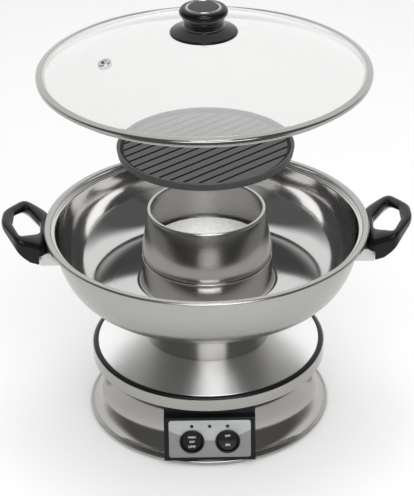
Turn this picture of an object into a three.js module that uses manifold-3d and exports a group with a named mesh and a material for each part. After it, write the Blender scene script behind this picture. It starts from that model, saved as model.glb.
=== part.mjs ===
// Electric hot pot with a grill plate: a steel base with a heater drum, a bowl with a chimney that stands
// over the drum, a grooved plate for the chimney's rim and a glass lid. Millimetres, +Z up, floor at zero.
// The plate and the lid are shown lifted above the bowl, one over the other.
import * as THREE from 'three';
import { mergeVertices } from 'three/addons/utils/BufferGeometryUtils.js';
import Module from 'manifold-3d';

const wasm = await Module();
wasm.setup();

// Driving sizes of the whole object.
const bowlRadius = 165;
const bowlHeight = 127.3; // foot of the fire tube to the top of the bowl's rim
const bowlDepth = 70.9; // rim to the underside of the bowl's floor
const fireTubeRadius = 65;
const chimneyDraw = 5.7; // how much narrower the chimney's rim is than the fire tube
const chimneyRise = 16.6; // chimney's rim above the bowl's rim
const plateRadius = 88.3;
const lidInset = 1.4; // lid's edge inside the bowl's
const lidRise = 44;
const baseHeight = 78.5;
const flangeRadius = 126.5;
const lipRadius = 121.4;
const waistRadius = 104;
const drumClearance = 9.2; // between the fire tube's radius and the drum's
const handleReach = 42.5; // handles beyond the bowl's rim
const plateLift = 61.5; // how far the plate is lifted off the chimney
const lidLift = 162.3; // how far the lid is lifted off the bowl
const chimneyRimRadius = fireTubeRadius - chimneyDraw;
const drumRadius = fireTubeRadius - drumClearance;
const lidRadius = bowlRadius - lidInset;

// Sizes that several pieces share.
const sheet = 1.2; // drawn steel sheet
const touchGap = 0.3; // between faces that touch
const fitGap = 0.5; // round what slides or drops in
const overrun = 5; // how far a cutter passes a face
const weldDistance = 0.001;
const fullTurn = 2 * Math.PI;
const quarter = Math.PI / 2;
const largeSides = 32;
const middleSides = 20;
const smallSides = 12;
const tinySides = 8;

// A closed geometry as a solid that can be cut: position only, shared corners, faces turned outwards.
function solid(geometry) {
  const bare = geometry.clone();
  bare.deleteAttribute('normal');
  bare.deleteAttribute('uv');
  const merged = mergeVertices(bare, weldDistance);
  const corners = merged.index.array;
  const spots = merged.attributes.position;
  const a = new THREE.Vector3();
  const b = new THREE.Vector3();
  const c = new THREE.Vector3();
  const kept = [];
  let volume = 0;
  for (let i = 0; i < corners.length; i += 3) {
    const [p, q, r] = corners.slice(i, i + 3);
    if (p === q || q === r || r === p) continue;
    kept.push(p, q, r);
    a.fromBufferAttribute(spots, p);
    b.fromBufferAttribute(spots, q);
    c.fromBufferAttribute(spots, r);
    volume += a.dot(b.cross(c));
  }
  if (volume < 0) kept.reverse();
  const mesh = new wasm.Mesh({
    numProp: 3,
    vertProperties: new Float32Array(spots.array),
    triVerts: new Uint32Array(kept),
  });
  return new wasm.Manifold(mesh);
}

// A profile of [radius, height] pairs turned round the Z axis.
function revolve(profile, sides) {
  const points = profile.map(([radius, height]) => new THREE.Vector2(radius, height));
  points.push(points[0].clone());
  return solid(new THREE.LatheGeometry(points, sides).rotateX(quarter));
}

// Points of an elliptical arc, angles in quarter turns from the +radius direction.
function arc(centreR, centreZ, reachR, reachZ, from, to, steps) {
  const points = [];
  for (let i = 0; i <= steps; i += 1) {
    const angle = (from + ((to - from) * i) / steps) * quarter;
    points.push([centreR + reachR * Math.cos(angle), centreZ + reachZ * Math.sin(angle)]);
  }
  return points;
}

// A flat outline of [x, y] pairs raised along +Z by a height.
function prism(outline, height) {
  const shape = new THREE.Shape(outline.map(([x, y]) => new THREE.Vector2(x, y)));
  return new THREE.ExtrudeGeometry(shape, { depth: height, bevelEnabled: false });
}

// A rectangle's outline with round corners, centred on the origin.
function roundedRectangle(width, height, radius, steps) {
  const points = [];
  const cornerShares = [[1, 1], [-1, 1], [-1, -1], [1, -1]];
  cornerShares.forEach(([sx, sy], turn) => {
    for (let i = 0; i <= steps; i += 1) {
      const angle = (turn + i / steps) * quarter;
      points.push([
        sx * (width / 2 - radius) + radius * Math.cos(angle),
        sy * (height / 2 - radius) + radius * Math.sin(angle),
      ]);
    }
  });
  return points;
}

// A block given by its lowest and highest corners.
function block([x0, y0, z0], [x1, y1, z1]) {
  const box = new THREE.BoxGeometry(x1 - x0, y1 - y0, z1 - z0);
  return solid(box.translate((x0 + x1) / 2, (y0 + y1) / 2, (z0 + z1) / 2));
}

// A round bar along +Z from one height to another, moved sideways.
function bar(radius, from, to, sides, x = 0, y = 0) {
  const round = new THREE.CylinderGeometry(radius, radius, to - from, sides).rotateX(quarter);
  return solid(round.translate(x, y, (from + to) / 2));
}

// A round tube bent along a curve, with closed ends.
function bentTube(curve, radius, sides, steps) {
  const shape = new THREE.Shape();
  for (let i = 0; i < sides; i += 1) {
    const angle = (i / sides) * fullTurn;
    const x = radius * Math.cos(angle);
    const y = radius * Math.sin(angle);
    if (i === 0) shape.moveTo(x, y);
    else shape.lineTo(x, y);
  }
  return solid(new THREE.ExtrudeGeometry(shape, { steps, bevelEnabled: false, extrudePath: curve }));
}

function finish(colour, roughness, metalness, extra = {}) {
  return new THREE.MeshStandardMaterial({ color: colour, roughness, metalness, ...extra });
}

const polishedSteel = finish(0xc9cac8, 0.12, 1);
const satinSteel = finish(0xb4b3af, 0.35, 1);
const plainSteel = finish(0xa4a5a6, 0.45, 1);
const blackPhenolic = finish(0x1b1c1e, 0.35, 0);
const blackPlastic = finish(0x141416, 0.3, 0);
const castCoating = finish(0x55575a, 0.6, 0.1);
const clearGlass = finish(0xe8ecea, 0.05, 0, { transparent: true, opacity: 0.35 });
const blackRubber = finish(0x161616, 0.7, 0);
const paleEnamel = finish(0xe9ebe9, 0.3, 0);
const panelGrey = finish(0xa7a9a9, 0.45, 0.3);
const elementSheath = finish(0x6d6660, 0.5, 0.9);
const ceramic = finish(0xe6dfd0, 0.6, 0);
const lampLens = finish(0x2a1512, 0.2, 0);
const brightChrome = finish(0xdfe1e2, 0.08, 1);

const object = new THREE.Group();

// Adds one piece to its group as a named mesh.
function piece(name, body, material, group) {
  const { vertProperties, triVerts } = body.getMesh();
  const geometry = new THREE.BufferGeometry();
  geometry.setAttribute('position', new THREE.BufferAttribute(new Float32Array(vertProperties), 3));
  geometry.setIndex(new THREE.BufferAttribute(new Uint32Array(triVerts), 1));
  geometry.computeVertexNormals();
  const mesh = new THREE.Mesh(geometry, material);
  mesh.name = name;
  group.add(mesh);
  return mesh;
}

const base = new THREE.Group();
object.add(base);

// Base shell: a spool of drawn steel with a straight band, a cove and a hemmed flange.
const flangeFloorGap = 3; // flange above the floor, on its feet
const hemHeight = 4;
const hemWidth = 1.5;
const bandHeight = 12.5;
const waistHeight = 40;
const coveEdge = 2.5; // how far the cove starts inside the band
const shellSteps = 4;
const bandBottom = baseHeight - bandHeight;
const hemTop = flangeFloorGap + hemHeight;

function coveOutline(inset) {
  const upper = arc(
    lipRadius - coveEdge,
    waistHeight,
    waistRadius - lipRadius + coveEdge - inset,
    bandBottom + inset - waistHeight,
    1,
    0,
    shellSteps,
  );
  const lower = arc(
    flangeRadius - hemWidth,
    waistHeight,
    waistRadius - flangeRadius + hemWidth - inset,
    hemTop - inset - waistHeight,
    0,
    1,
    shellSteps,
  );
  return [...upper, ...lower.slice(1)];
}

// Control housing: a black moulding let into the front of the shell, with a face that leans back.
const housingWidth = 92;
const housingSetback = 1; // foot of its face inside the flange's edge
const housingFloor = 9.3;
const faceLength = 45.8;
const faceLean = THREE.MathUtils.degToRad(13);
const housingDepth = 39.5;
const ledgeDepth = 7;
const housingWall = 2.5;
const housingFront = flangeRadius - housingSetback;
const housingBack = housingFront - housingDepth;
const housingTop = bandBottom - fitGap;
const faceTopY = -housingFront + faceLength * Math.sin(faceLean);
const faceTopZ = housingFloor + faceLength * Math.cos(faceLean);

function housingOutline(inset, back) {
  // Pairs of depth from the axis towards the front and height.
  return [
    [housingFront - inset * (1 / Math.cos(faceLean) + Math.tan(faceLean)), housingFloor + inset],
    [-faceTopY - inset * (1 / Math.cos(faceLean) - Math.tan(faceLean)), faceTopZ - inset],
    [-faceTopY - ledgeDepth - inset, faceTopZ - inset],
    [-faceTopY - ledgeDepth - inset, housingTop - inset],
    [back, housingTop - inset],
    [back, housingFloor + inset],
  ];
}

// A side outline pushed out to both sides of the middle plane.
function housingPrism(outline, width) {
  // The prism's own x is the depth, its y the height and its z the width.
  const turned = new THREE.Matrix4().makeBasis(
    new THREE.Vector3(0, -1, 0),
    new THREE.Vector3(0, 0, 1),
    new THREE.Vector3(-1, 0, 0),
  );
  return solid(prism(outline, width).translate(0, 0, -width / 2).applyMatrix4(turned));
}

// Power inlet bush at the back of the shell.
const glandRadius = 7;
const glandBore = 3.6;
const glandFlange = 9.5;
const glandHeight = waistHeight;
const glandFlangeDepth = 2.5;
const glandLength = 14;

// The cove curves out above and below the waist; the bush's flange stands off by as much.
function coveFall(depth, reach) {
  return depth * (1 - Math.sqrt(1 - (glandFlange / reach) ** 2));
}

const upperFall = coveFall(lipRadius - coveEdge - waistRadius, bandBottom - waistHeight);
const lowerFall = coveFall(flangeRadius - hemWidth - waistRadius, waistHeight - hemTop);
const glandStandOff = Math.max(upperFall, lowerFall) + 2 * touchGap;

const shellProfile = [
  [lipRadius - sheet, baseHeight],
  [lipRadius - sheet / 2, baseHeight],
  [lipRadius, baseHeight - sheet / 2],
  [lipRadius, bandBottom],
  ...coveOutline(0),
  [flangeRadius - hemWidth / 2, hemTop - hemWidth / 4],
  [flangeRadius, hemTop - hemWidth],
  [flangeRadius, flangeFloorGap + hemWidth / 2],
  [flangeRadius - hemWidth / 2, flangeFloorGap],
  [flangeRadius - hemWidth, flangeFloorGap],
  ...coveOutline(sheet).reverse(),
  [lipRadius - sheet, bandBottom + sheet],
];
const windowHalf = housingWidth / 2 + touchGap;
const shellWindow = block(
  [-windowHalf, -housingFront - overrun, housingFloor - touchGap],
  [windowHalf, -housingBack, bandBottom],
);
const glandHole = solid(
  new THREE.CylinderGeometry(glandRadius + touchGap, glandRadius + touchGap, waistRadius, smallSides)
    .translate(0, waistRadius, 0),
).translate([0, 0, glandHeight]);
piece(
  'base_shell',
  revolve(shellProfile, largeSides).subtract(shellWindow).subtract(glandHole),
  satinSteel,
  base,
);

const glandProfile = [
  [glandBore, glandFlangeDepth],
  [glandRadius, glandFlangeDepth],
  [glandFlange, glandFlangeDepth / 3],
  [glandFlange, 0],
  [glandRadius, 0],
  [glandRadius, -glandLength],
  [glandBore, -glandLength],
];
const gland = piece('power_inlet_bush', revolve(glandProfile, smallSides), blackRubber, base);
gland.rotation.x = -quarter;
gland.position.set(0, waistRadius + glandStandOff, glandHeight);

// Bottom cover with air slots, inside the flange's hem.
const coverThickness = 1.5;
const coverLift = 0.8;
const slotCount = 8;
const slotWidth = 5;
const slotLength = 22;
const slotRing = 38;
const slotEndSteps = 2;
const coverBottom = flangeFloorGap + coverLift;
const coverTop = coverBottom + coverThickness;
const coverRadius = flangeRadius - hemWidth - fitGap;
const footInset = 24.5; // inside the flange's edge
const footRing = flangeRadius - footInset;
const footCount = 4;
const footRadius = 9;
const footStem = 2.6;
const footBarb = 3.8;
const footBarbHeight = 2;
const standScrewCount = 3;
const standScrewReach = 15.2; // beyond the drum
const standScrewRing = drumRadius + standScrewReach;
const screwShank = 2;
const screwHead = 4;
const screwHeadHeight = 1.6;

function ringPlaces(count, radius, start) {
  return Array.from({ length: count }, (_, i) => {
    const angle = start + (i / count) * fullTurn;
    return [radius * Math.cos(angle), radius * Math.sin(angle), angle];
  });
}

const footPlaces = ringPlaces(footCount, footRing, quarter / 2);
const standScrewPlaces = ringPlaces(standScrewCount, standScrewRing, quarter);
let cover = bar(coverRadius, coverBottom, coverTop, largeSides);
const slotOutline = roundedRectangle(slotLength, slotWidth, slotWidth / 2, slotEndSteps);
ringPlaces(slotCount, slotRing, 0).forEach(([x, y, angle]) => {
  const slot = prism(slotOutline, coverTop + overrun);
  cover = cover.subtract(solid(slot.rotateZ(angle).translate(x, y, 0)));
});
footPlaces.forEach(([x, y]) => {
  cover = cover.subtract(bar(footStem + touchGap, 0, coverTop + overrun, tinySides, x, y));
});
standScrewPlaces.forEach(([x, y]) => {
  cover = cover.subtract(bar(screwShank + touchGap, 0, coverTop + overrun, tinySides, x, y));
});
piece('bottom_cover', cover, plainSteel, base);

// Rubber feet: a puck with a stem and a barb pushed through the cover.
const footProfile = [
  [0, 0],
  [footRadius - footStem / 2, 0],
  [footRadius, footStem / 2],
  [footRadius, coverBottom - touchGap],
  [footStem, coverBottom - touchGap],
  [footStem, coverTop + touchGap],
  [footBarb, coverTop + touchGap],
  [footStem, coverTop + touchGap + footBarbHeight],
  [0, coverTop + touchGap + footBarbHeight],
];
footPlaces.forEach(([x, y], i) => {
  const foot = piece(`foot_${i + 1}`, revolve(footProfile, smallSides), blackRubber, base);
  foot.position.set(x, y, 0);
});

// Top disc of the base: polished steel, a flat seat in the middle and a gentle fall to its edge.
const discInset = 6.1; // disc's edge inside the shell's lip
const discEdgeRise = 2; // disc's edge above the shell's lip
const discRise = 8.3; // seat above the disc's edge
const seatLand = 4; // seat beyond the fire tube
const discRadius = lipRadius - discInset;
const discEdgeHeight = baseHeight + discEdgeRise;
const discSeatHeight = discEdgeHeight + discRise;
const discSeatRadius = fireTubeRadius + seatLand;
const discHole = drumRadius + fitGap + sheet;
const locatingRing = fireTubeRadius - sheet - fitGap;
const locatingHeight = 2.4;
const discEdgeTurn = 1.6;
const discProfile = [
  [discHole, discSeatHeight],
  [locatingRing - 2 * sheet, discSeatHeight],
  [locatingRing - 2 * sheet, discSeatHeight + locatingHeight],
  [locatingRing, discSeatHeight + locatingHeight],
  [locatingRing, discSeatHeight],
  [discSeatRadius, discSeatHeight],
  [discRadius - discEdgeTurn, discEdgeHeight],
  [discRadius, discEdgeHeight - discEdgeTurn],
  [discRadius, discEdgeHeight - 2 * discEdgeTurn],
  [discRadius - sheet, discEdgeHeight - 2 * discEdgeTurn],
  [discRadius - discEdgeTurn - sheet, discEdgeHeight - discEdgeTurn],
  [discSeatRadius, discSeatHeight - sheet],
  [discHole, discSeatHeight - sheet],
];
piece('top_disc', revolve(discProfile, largeSides), polishedSteel, base);

// Black seal between the disc's edge and the shell's lip, and the ledge ring that carries both.
const sealRise = 1.1; // above the shell's lip
const sealDepth = 6.1;
const sealTop = baseHeight + sealRise;
const sealFoot = sealTop - sealDepth;
const sealLip = 3.5; // how far it reaches under the disc
const sealFloor = 2;
const sealOuter = lipRadius - sheet - touchGap;
const discEdgeBottom = discEdgeHeight - 2 * discEdgeTurn;
const sealProfile = [
  [sealOuter, sealFoot],
  [sealOuter, sealTop - sheet],
  [sealOuter - sheet, sealTop],
  [discRadius + touchGap + sheet, sealTop],
  [discRadius + touchGap, sealTop - sheet],
  [discRadius + touchGap, discEdgeBottom - touchGap],
  [discRadius - sealLip, discEdgeBottom - touchGap],
  [discRadius - sealLip, sealFoot],
];
piece('disc_seal', revolve(sealProfile, largeSides), blackRubber, base);

const ledgeDrop = sealFoot - sealFloor - touchGap;
const ledgeProfile = [
  [sealOuter, ledgeDrop - sealFloor],
  [sealOuter, ledgeDrop + sealFloor],
  [discRadius - 2 * sealLip, ledgeDrop + sealFloor],
  [discRadius - 2 * sealLip, ledgeDrop + sealFloor - sheet],
  [sealOuter - sheet, ledgeDrop + sealFloor - sheet],
  [sealOuter - sheet, ledgeDrop - sealFloor],
];
piece('disc_ledge_ring', revolve(ledgeProfile, largeSides), plainSteel, base);

// Heater drum: a steel cylinder up the middle, its flange under the disc.
const drumRise = 95.2; // above the disc's seat
const drumFlangeWidth = 10.2;
const drumTop = discSeatHeight + drumRise;
const drumFlange = drumRadius + drumFlangeWidth;
const drumFlangeTop = discSeatHeight - sheet - touchGap;
const drumFoot = drumFlangeTop - sheet;
const drumProfile = [
  [drumRadius - sheet, drumFoot],
  [drumFlange, drumFoot],
  [drumFlange, drumFlangeTop],
  [drumRadius, drumFlangeTop],
  [drumRadius, drumTop],
  [drumRadius - sheet, drumTop],
];
piece('heater_drum', revolve(drumProfile, largeSides), satinSteel, base);

// Pale enamelled plate that closes the drum, with a spigot inside it.
const heatPlateThickness = 3.2;
const heatPlateSpigot = 4;
const heatPlateEdge = 0.8;
const heatPlateBottom = drumTop + touchGap;
const heatPlateTop = heatPlateBottom + heatPlateThickness;
const spigotRadius = drumRadius - sheet - fitGap;
const heatPlateProfile = [
  [0, heatPlateTop],
  [drumRadius - heatPlateEdge, heatPlateTop],
  [drumRadius, heatPlateTop - heatPlateEdge],
  [drumRadius, heatPlateBottom],
  [spigotRadius, heatPlateBottom],
  [spigotRadius, heatPlateBottom - heatPlateSpigot],
  [spigotRadius - sheet, heatPlateBottom - heatPlateSpigot],
  [spigotRadius - sheet, heatPlateBottom],
  [0, heatPlateBottom],
];
piece('drum_heat_plate', revolve(heatPlateProfile, largeSides), paleEnamel, base);

// Drum stand: a pressed skirt from the bottom cover up to the drum's flange.
const standWall = 2;
const standScrewLand = 7; // foot beyond its screws
const standFootWidth = 16;
const standFootRadius = standScrewRing + standScrewLand;
const standRadius = standFootRadius - standFootWidth;
const standTop = drumFoot - touchGap;
const standFoot = coverTop + touchGap;
const standProfile = [
  [standRadius - standWall, standFoot],
  [standFootRadius, standFoot],
  [standFootRadius, standFoot + standWall],
  [standRadius, standFoot + standWall],
  [standRadius, standTop - standWall],
  [standRadius, standTop],
  [standRadius - 4 * standWall, standTop],
  [standRadius - 4 * standWall, standTop - standWall],
  [standRadius - standWall, standTop - standWall],
];
let stand = revolve(standProfile, middleSides);
standScrewPlaces.forEach(([x, y]) => {
  stand = stand.subtract(bar(screwShank + touchGap, 0, standFoot + standWall + overrun, tinySides, x, y));
});
piece('drum_stand', stand, plainSteel, base);

// Screws from under the cover into the stand's foot.
const standScrewProfile = [
  [0, coverBottom - touchGap - screwHeadHeight],
  [screwHead, coverBottom - touchGap - screwHeadHeight],
  [screwHead, coverBottom - touchGap],
  [screwShank, coverBottom - touchGap],
  [screwShank, standFoot + standWall + screwHeadHeight],
  [0, standFoot + standWall + screwHeadHeight],
];
standScrewPlaces.forEach(([x, y], i) => {
  const screw = piece(`stand_screw_${i + 1}`, revolve(standScrewProfile, tinySides), plainSteel, base);
  screw.position.set(x, y, 0);
});

// Two tubular heating elements in the drum: open rings with both ends turned down.
const elementRadius = 3.2;
const elementOpeningShare = 0.08;
const elementSides = 6;
const elementSteps = 30;

class ElementRing extends THREE.Curve {
  // A ring that is open at the back, its ends turned straight down by a leg.
  constructor(ringRadius, height, leg, bend) {
    super();
    this.ringRadius = ringRadius;
    this.height = height;
    this.leg = leg;
    this.bend = bend;
    this.sweep = fullTurn * (1 - elementOpeningShare);
    this.lengths = [leg, bend * quarter, ringRadius * this.sweep, bend * quarter, leg];
    this.total = this.lengths.reduce((sum, value) => sum + value, 0);
  }

  ringPoint(angle, drop) {
    const start = quarter + (fullTurn - this.sweep) / 2;
    return new THREE.Vector3(
      this.ringRadius * Math.cos(start + angle),
      this.ringRadius * Math.sin(start + angle),
      this.height - drop,
    );
  }

  getPoint(share, target = new THREE.Vector3()) {
    let along = share * this.total;
    const half = along > this.total / 2;
    if (half) along = this.total - along;
    const bendLength = this.lengths[1];
    let angle = 0;
    let drop = 0;
    if (along < this.leg) {
      angle = -this.bend / this.ringRadius;
      drop = this.bend + this.leg - along;
    } else if (along < this.leg + bendLength) {
      const turn = (along - this.leg) / this.bend;
      angle = (-this.bend * Math.cos(turn)) / this.ringRadius;
      drop = this.bend * (1 - Math.sin(turn));
    } else {
      angle = (along - this.leg - bendLength) / this.ringRadius;
    }
    return target.copy(this.ringPoint(half ? this.sweep - angle : angle, drop));
  }
}

function element(ringRadius, height, leg) {
  const bend = 2 * elementRadius;
  return bentTube(new ElementRing(ringRadius, height, leg, bend), elementRadius, elementSides, elementSteps);
}

const potElementRise = 39.2; // above the disc's seat
const potElementHeight = discSeatHeight + potElementRise;
const potElementLeg = 16;
const potElementRing = drumRadius - sheet - elementRadius - fitGap;
const grillElementInset = 16.9; // inside the pot element's ring
const grillElementRing = potElementRing - grillElementInset;
const grillElementLeg = 10;
const grillElementHeight = heatPlateBottom - elementRadius - fitGap;
piece('pot_heating_element', element(potElementRing, potElementHeight, potElementLeg), elementSheath, base);
piece(
  'grill_heating_element',
  element(grillElementRing, grillElementHeight, grillElementLeg),
  elementSheath,
  base,
);

// Reflector under the grill element: it throws the heat up and carries the limiter.
const reflectorHeight = grillElementHeight - 2 * elementRadius - fitGap;
const reflectorRise = 6;
const reflectorRadius = drumRadius - sheet - fitGap;
const legHole = elementRadius + 2 * fitGap;
const reflectorPlate = revolve(
  [
    [0, reflectorHeight - sheet],
    [reflectorRadius - sheet, reflectorHeight - sheet],
    [reflectorRadius - sheet, reflectorHeight - reflectorRise],
    [reflectorRadius, reflectorHeight - reflectorRise],
    [reflectorRadius, reflectorHeight - sheet],
    [reflectorRadius - sheet, reflectorHeight],
    [0, reflectorHeight],
  ],
  middleSides,
);
const grillCurve = new ElementRing(grillElementRing, grillElementHeight, grillElementLeg, 2 * elementRadius);
let reflector = reflectorPlate;
[0, 1].forEach((end) => {
  const { x, y } = grillCurve.getPoint(end);
  reflector = reflector.subtract(
    bar(legHole, reflectorHeight - reflectorRise, reflectorHeight + overrun, tinySides, x, y),
  );
});
piece('reflector', reflector, polishedSteel, base);

// Clips that hold the pot element against the drum's wall.
const clipReach = 9;
const clipWidth = 12;
const clipThickness = 1.2;
const clipOffsetShares = [-1, 1];
const clipTop = potElementHeight - elementRadius - touchGap;
clipOffsetShares.forEach((side) => {
  const wall = drumRadius - sheet - touchGap;
  // Chord depth that keeps the clip's corners inside the round wall.
  const reach = Math.sqrt(wall * wall - (clipWidth / 2) ** 2);
  const shelf = block(
    [reach - clipReach, -clipWidth / 2, clipTop - clipThickness],
    [reach, clipWidth / 2, clipTop],
  );
  const leg = block(
    [reach - clipThickness, -clipWidth / 2, clipTop - clipReach],
    [reach, clipWidth / 2, clipTop],
  );
  const clipName = side < 0 ? 'element_clip_left' : 'element_clip_right';
  const clip = piece(clipName, shelf.add(leg), plainSteel, base);
  if (side < 0) clip.rotation.z = Math.PI;
});

// Bimetal thermostats on the outside of the drum stand, one for each heater.
const thermostatRadius = 8;
const thermostatDepth = 7;
const thermostatDrop = 12.5; // below the shell's lip
const thermostatHeight = baseHeight - thermostatDrop;
const thermostatFlange = 1.6;
const thermostatProfile = [
  [0, 0],
  [thermostatRadius, 0],
  [thermostatRadius, thermostatFlange],
  [thermostatRadius - thermostatFlange, thermostatFlange],
  [thermostatRadius - thermostatFlange, thermostatDepth],
  [0, thermostatDepth],
];
[['pot_thermostat', -1], ['grill_thermostat', 1]].forEach(([name, side]) => {
  const thermostat = piece(name, revolve(thermostatProfile, smallSides), ceramic, base);
  thermostat.rotation.y = side * quarter;
  thermostat.position.set(side * (standRadius + touchGap), 0, thermostatHeight);
});

// Terminal block and thermal cut-out on the bottom cover, behind the stand.
const terminalWidth = 34;
const terminalDepth = 12;
const terminalHeight = 13;
const terminalGap = 4; // behind the stand's foot
const terminalY = standFootRadius + terminalGap + terminalDepth / 2;
const terminalHoles = 4;
const terminalHoleRadius = 2.2;
const terminalFloor = coverTop + touchGap;
let terminals = block(
  [-terminalWidth / 2, terminalY - terminalDepth / 2, terminalFloor],
  [terminalWidth / 2, terminalY + terminalDepth / 2, terminalFloor + terminalHeight],
);
for (let i = 0; i < terminalHoles; i += 1) {
  const x = ((i + 0.5) / terminalHoles - 0.5) * terminalWidth;
  const from = terminalFloor + terminalHeight / 2;
  const hole = bar(terminalHoleRadius, from, from + terminalHeight, tinySides, x, terminalY);
  terminals = terminals.subtract(hole);
}
piece('terminal_block', terminals, ceramic, base);

const cutoutRadius = 4.5;
const cutoutLength = 16;
const cutoutX = 34;
const cutout = piece('thermal_cutout', bar(cutoutRadius, 0, cutoutLength, smallSides), ceramic, base);
cutout.rotation.x = quarter;
cutout.position.set(cutoutX, terminalY, terminalFloor + cutoutRadius);

// Panel frame: x along the face, y up its slope, z out of it, from the middle of the face's foot.
const panel = new THREE.Group();
panel.position.set(0, -housingFront, housingFloor);
panel.rotation.x = quarter - faceLean;
base.add(panel);

const plateWidth = 82.5;
const plateHeight = 39.6;
const plateThickness = 1.2;
const plateCorner = 2.5;
const plateFoot = 3.1; // face's foot to the faceplate
const plateMiddle = plateFoot + plateHeight / 2;
const plateSink = 0.1; // faceplate below the housing's face
const recessDepth = plateThickness + touchGap + plateSink;
const switchSpacing = 36;
const switchMiddle = 20.2;
const bezelRadius = 12.5;
const bezelHeight = 1.5;
const barrelRadius = 11.2;
const barrelDepth = 15;
const wellRadius = 10.4;
const wellDepth = 8.5;
const lampMiddle = 36.4;
const lampSpacing = 18;
const lampRadius = 1.6;
const lampFlange = 2.7;
const lampBody = 9;
const lampDome = 0.6;
const domeWidthShare = 0.7;
const domeRiseShare = 0.75;
const switchPlaces = [[-switchSpacing / 2, switchMiddle], [switchSpacing / 2, switchMiddle]];
const lampPlaces = [[-lampSpacing, lampMiddle], [0, lampMiddle], [lampSpacing, lampMiddle]];

// Holes for the switches and lamps, in the panel frame.
function panelHoles(from, to) {
  const cutters = [
    ...switchPlaces.map(([x, y]) => bar(barrelRadius + touchGap, from, to, middleSides, x, y)),
    ...lampPlaces.map(([x, y]) => bar(lampRadius + touchGap, from, to, tinySides, x, y)),
  ];
  return cutters.reduce((all, one) => all.add(one));
}

const recess = solid(
  prism(roundedRectangle(plateWidth + 2 * touchGap, plateHeight + 2 * touchGap, plateCorner, 3), overrun)
    .translate(0, plateMiddle, -recessDepth),
);
const panelInBase = new THREE.Matrix4().compose(
  panel.position,
  panel.quaternion,
  new THREE.Vector3(1, 1, 1),
);
const frontCuts = recess.add(panelHoles(-housingWall - recessDepth - overrun, overrun))
  .transform(panelInBase.toArray());
const housingOuter = housingPrism(housingOutline(0, housingBack), housingWidth);
const housingInner = housingPrism(
  housingOutline(housingWall + recessDepth, housingBack - overrun),
  housingWidth - 2 * housingWall,
);
piece('control_housing', housingOuter.subtract(housingInner).subtract(frontCuts), blackPlastic, base);

const faceplate = solid(
  prism(roundedRectangle(plateWidth, plateHeight, plateCorner, 3), plateThickness)
    .translate(0, plateMiddle, touchGap - recessDepth),
).subtract(panelHoles(-recessDepth, overrun));
piece('faceplate', faceplate, panelGrey, panel);

// Pilot lamps: a domed lens on a barrel that is pushed in from behind.
const faceTop = touchGap - recessDepth + plateThickness;
const lampSeat = -housingWall - recessDepth - touchGap;
const lampProfile = [
  [0, faceTop + lampDome],
  [lampRadius * domeWidthShare, faceTop + lampDome * domeRiseShare],
  [lampRadius, faceTop],
  [lampRadius, lampSeat],
  [lampFlange, lampSeat],
  [lampFlange, lampSeat - lampBody / 4],
  [lampRadius, lampSeat - lampBody / 4],
  [lampRadius, lampSeat - lampBody],
  [0, lampSeat - lampBody],
];
['pot_lamp', 'power_lamp', 'grill_lamp'].forEach((name, i) => {
  const lamp = piece(name, revolve(lampProfile, tinySides), lampLens, panel);
  lamp.position.set(lampPlaces[i][0], lampPlaces[i][1], 0);
});

// Round switches: a barrel with a bezel, and a rocker on a pin across the well.
const rockerGap = 0.7; // between a rocker and its well
const rockerRadius = wellRadius - rockerGap;
const rockerThick = 6;
const rockerPivot = -2.6; // below the faceplate
const rockerDish = 1.2;
const rockerKeel = 2.2;
const dishSteps = 6;
const pinRadius = 0.8;
const pinReach = 0.7;
const pinGap = 0.25;
const rockerTilt = THREE.MathUtils.degToRad(8);
const bezelFoot = faceTop + touchGap;
const bezelTop = bezelFoot + bezelHeight;
const bezelLand = 1;
const switchProfile = [
  [0, -barrelDepth],
  [barrelRadius, -barrelDepth],
  [barrelRadius, bezelFoot],
  [bezelRadius, bezelFoot],
  [bezelRadius, bezelTop - bezelLand / 2],
  [bezelRadius - bezelLand, bezelTop],
  [wellRadius + bezelLand / 2, bezelTop],
  [wellRadius, bezelTop - bezelLand / 2],
  [wellRadius, -wellDepth],
  [0, -wellDepth],
];
const pinHoleRadius = pinRadius + pinGap;
const pinHoleLength = 2 * (rockerRadius + 2 * pinReach);
const pinHole = solid(
  new THREE.CylinderGeometry(pinHoleRadius, pinHoleRadius, pinHoleLength, tinySides)
    .rotateZ(quarter)
    .translate(0, 0, rockerPivot),
);
const switchBody = revolve(switchProfile, middleSides).subtract(pinHole);

// Rocker seen from its side: the top is dished or has two flats, the underside is a keel.
function rockerOutline(dished) {
  const top = rockerThick / 2;
  const crownSteps = dished ? dishSteps : 2;
  const points = [];
  for (let i = 0; i <= crownSteps; i += 1) {
    const share = (2 * i) / crownSteps - 1;
    const fall = rockerDish * (1 - (dished ? share * share : Math.abs(share)));
    points.push([share * (rockerRadius + pinReach), top - fall]);
  }
  points.push([rockerRadius + pinReach, 0]);
  points.push([rockerRadius / 3, -rockerKeel]);
  points.push([-rockerRadius / 3, -rockerKeel]);
  points.push([-rockerRadius - pinReach, 0]);
  return points;
}

function rocker(dished) {
  const length = 2 * (rockerRadius + pinReach);
  // The outline's x becomes the panel's y and its y the panel's z.
  const turned = new THREE.Matrix4().makeBasis(
    new THREE.Vector3(0, 1, 0),
    new THREE.Vector3(0, 0, 1),
    new THREE.Vector3(1, 0, 0),
  );
  const side = solid(
    prism(rockerOutline(dished), length).translate(0, 0, -length / 2).applyMatrix4(turned),
  );
  const round = bar(rockerRadius, -rockerThick, rockerThick, middleSides);
  const pin = solid(
    new THREE.CylinderGeometry(pinRadius, pinRadius, length, tinySides).rotateZ(quarter),
  );
  return side.intersect(round).add(pin);
}

[['heat', true, 0], ['grill', false, -rockerTilt]].forEach(([name, dished, tilt], i) => {
  const [x, y] = switchPlaces[i];
  const body = piece(`${name}_switch_body`, switchBody, blackPlastic, panel);
  body.position.set(x, y, 0);
  const button = piece(`${name}_rocker`, rocker(dished), blackPlastic, panel);
  button.position.set(x, y, rockerPivot);
  button.rotation.x = tilt;
});

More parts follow.
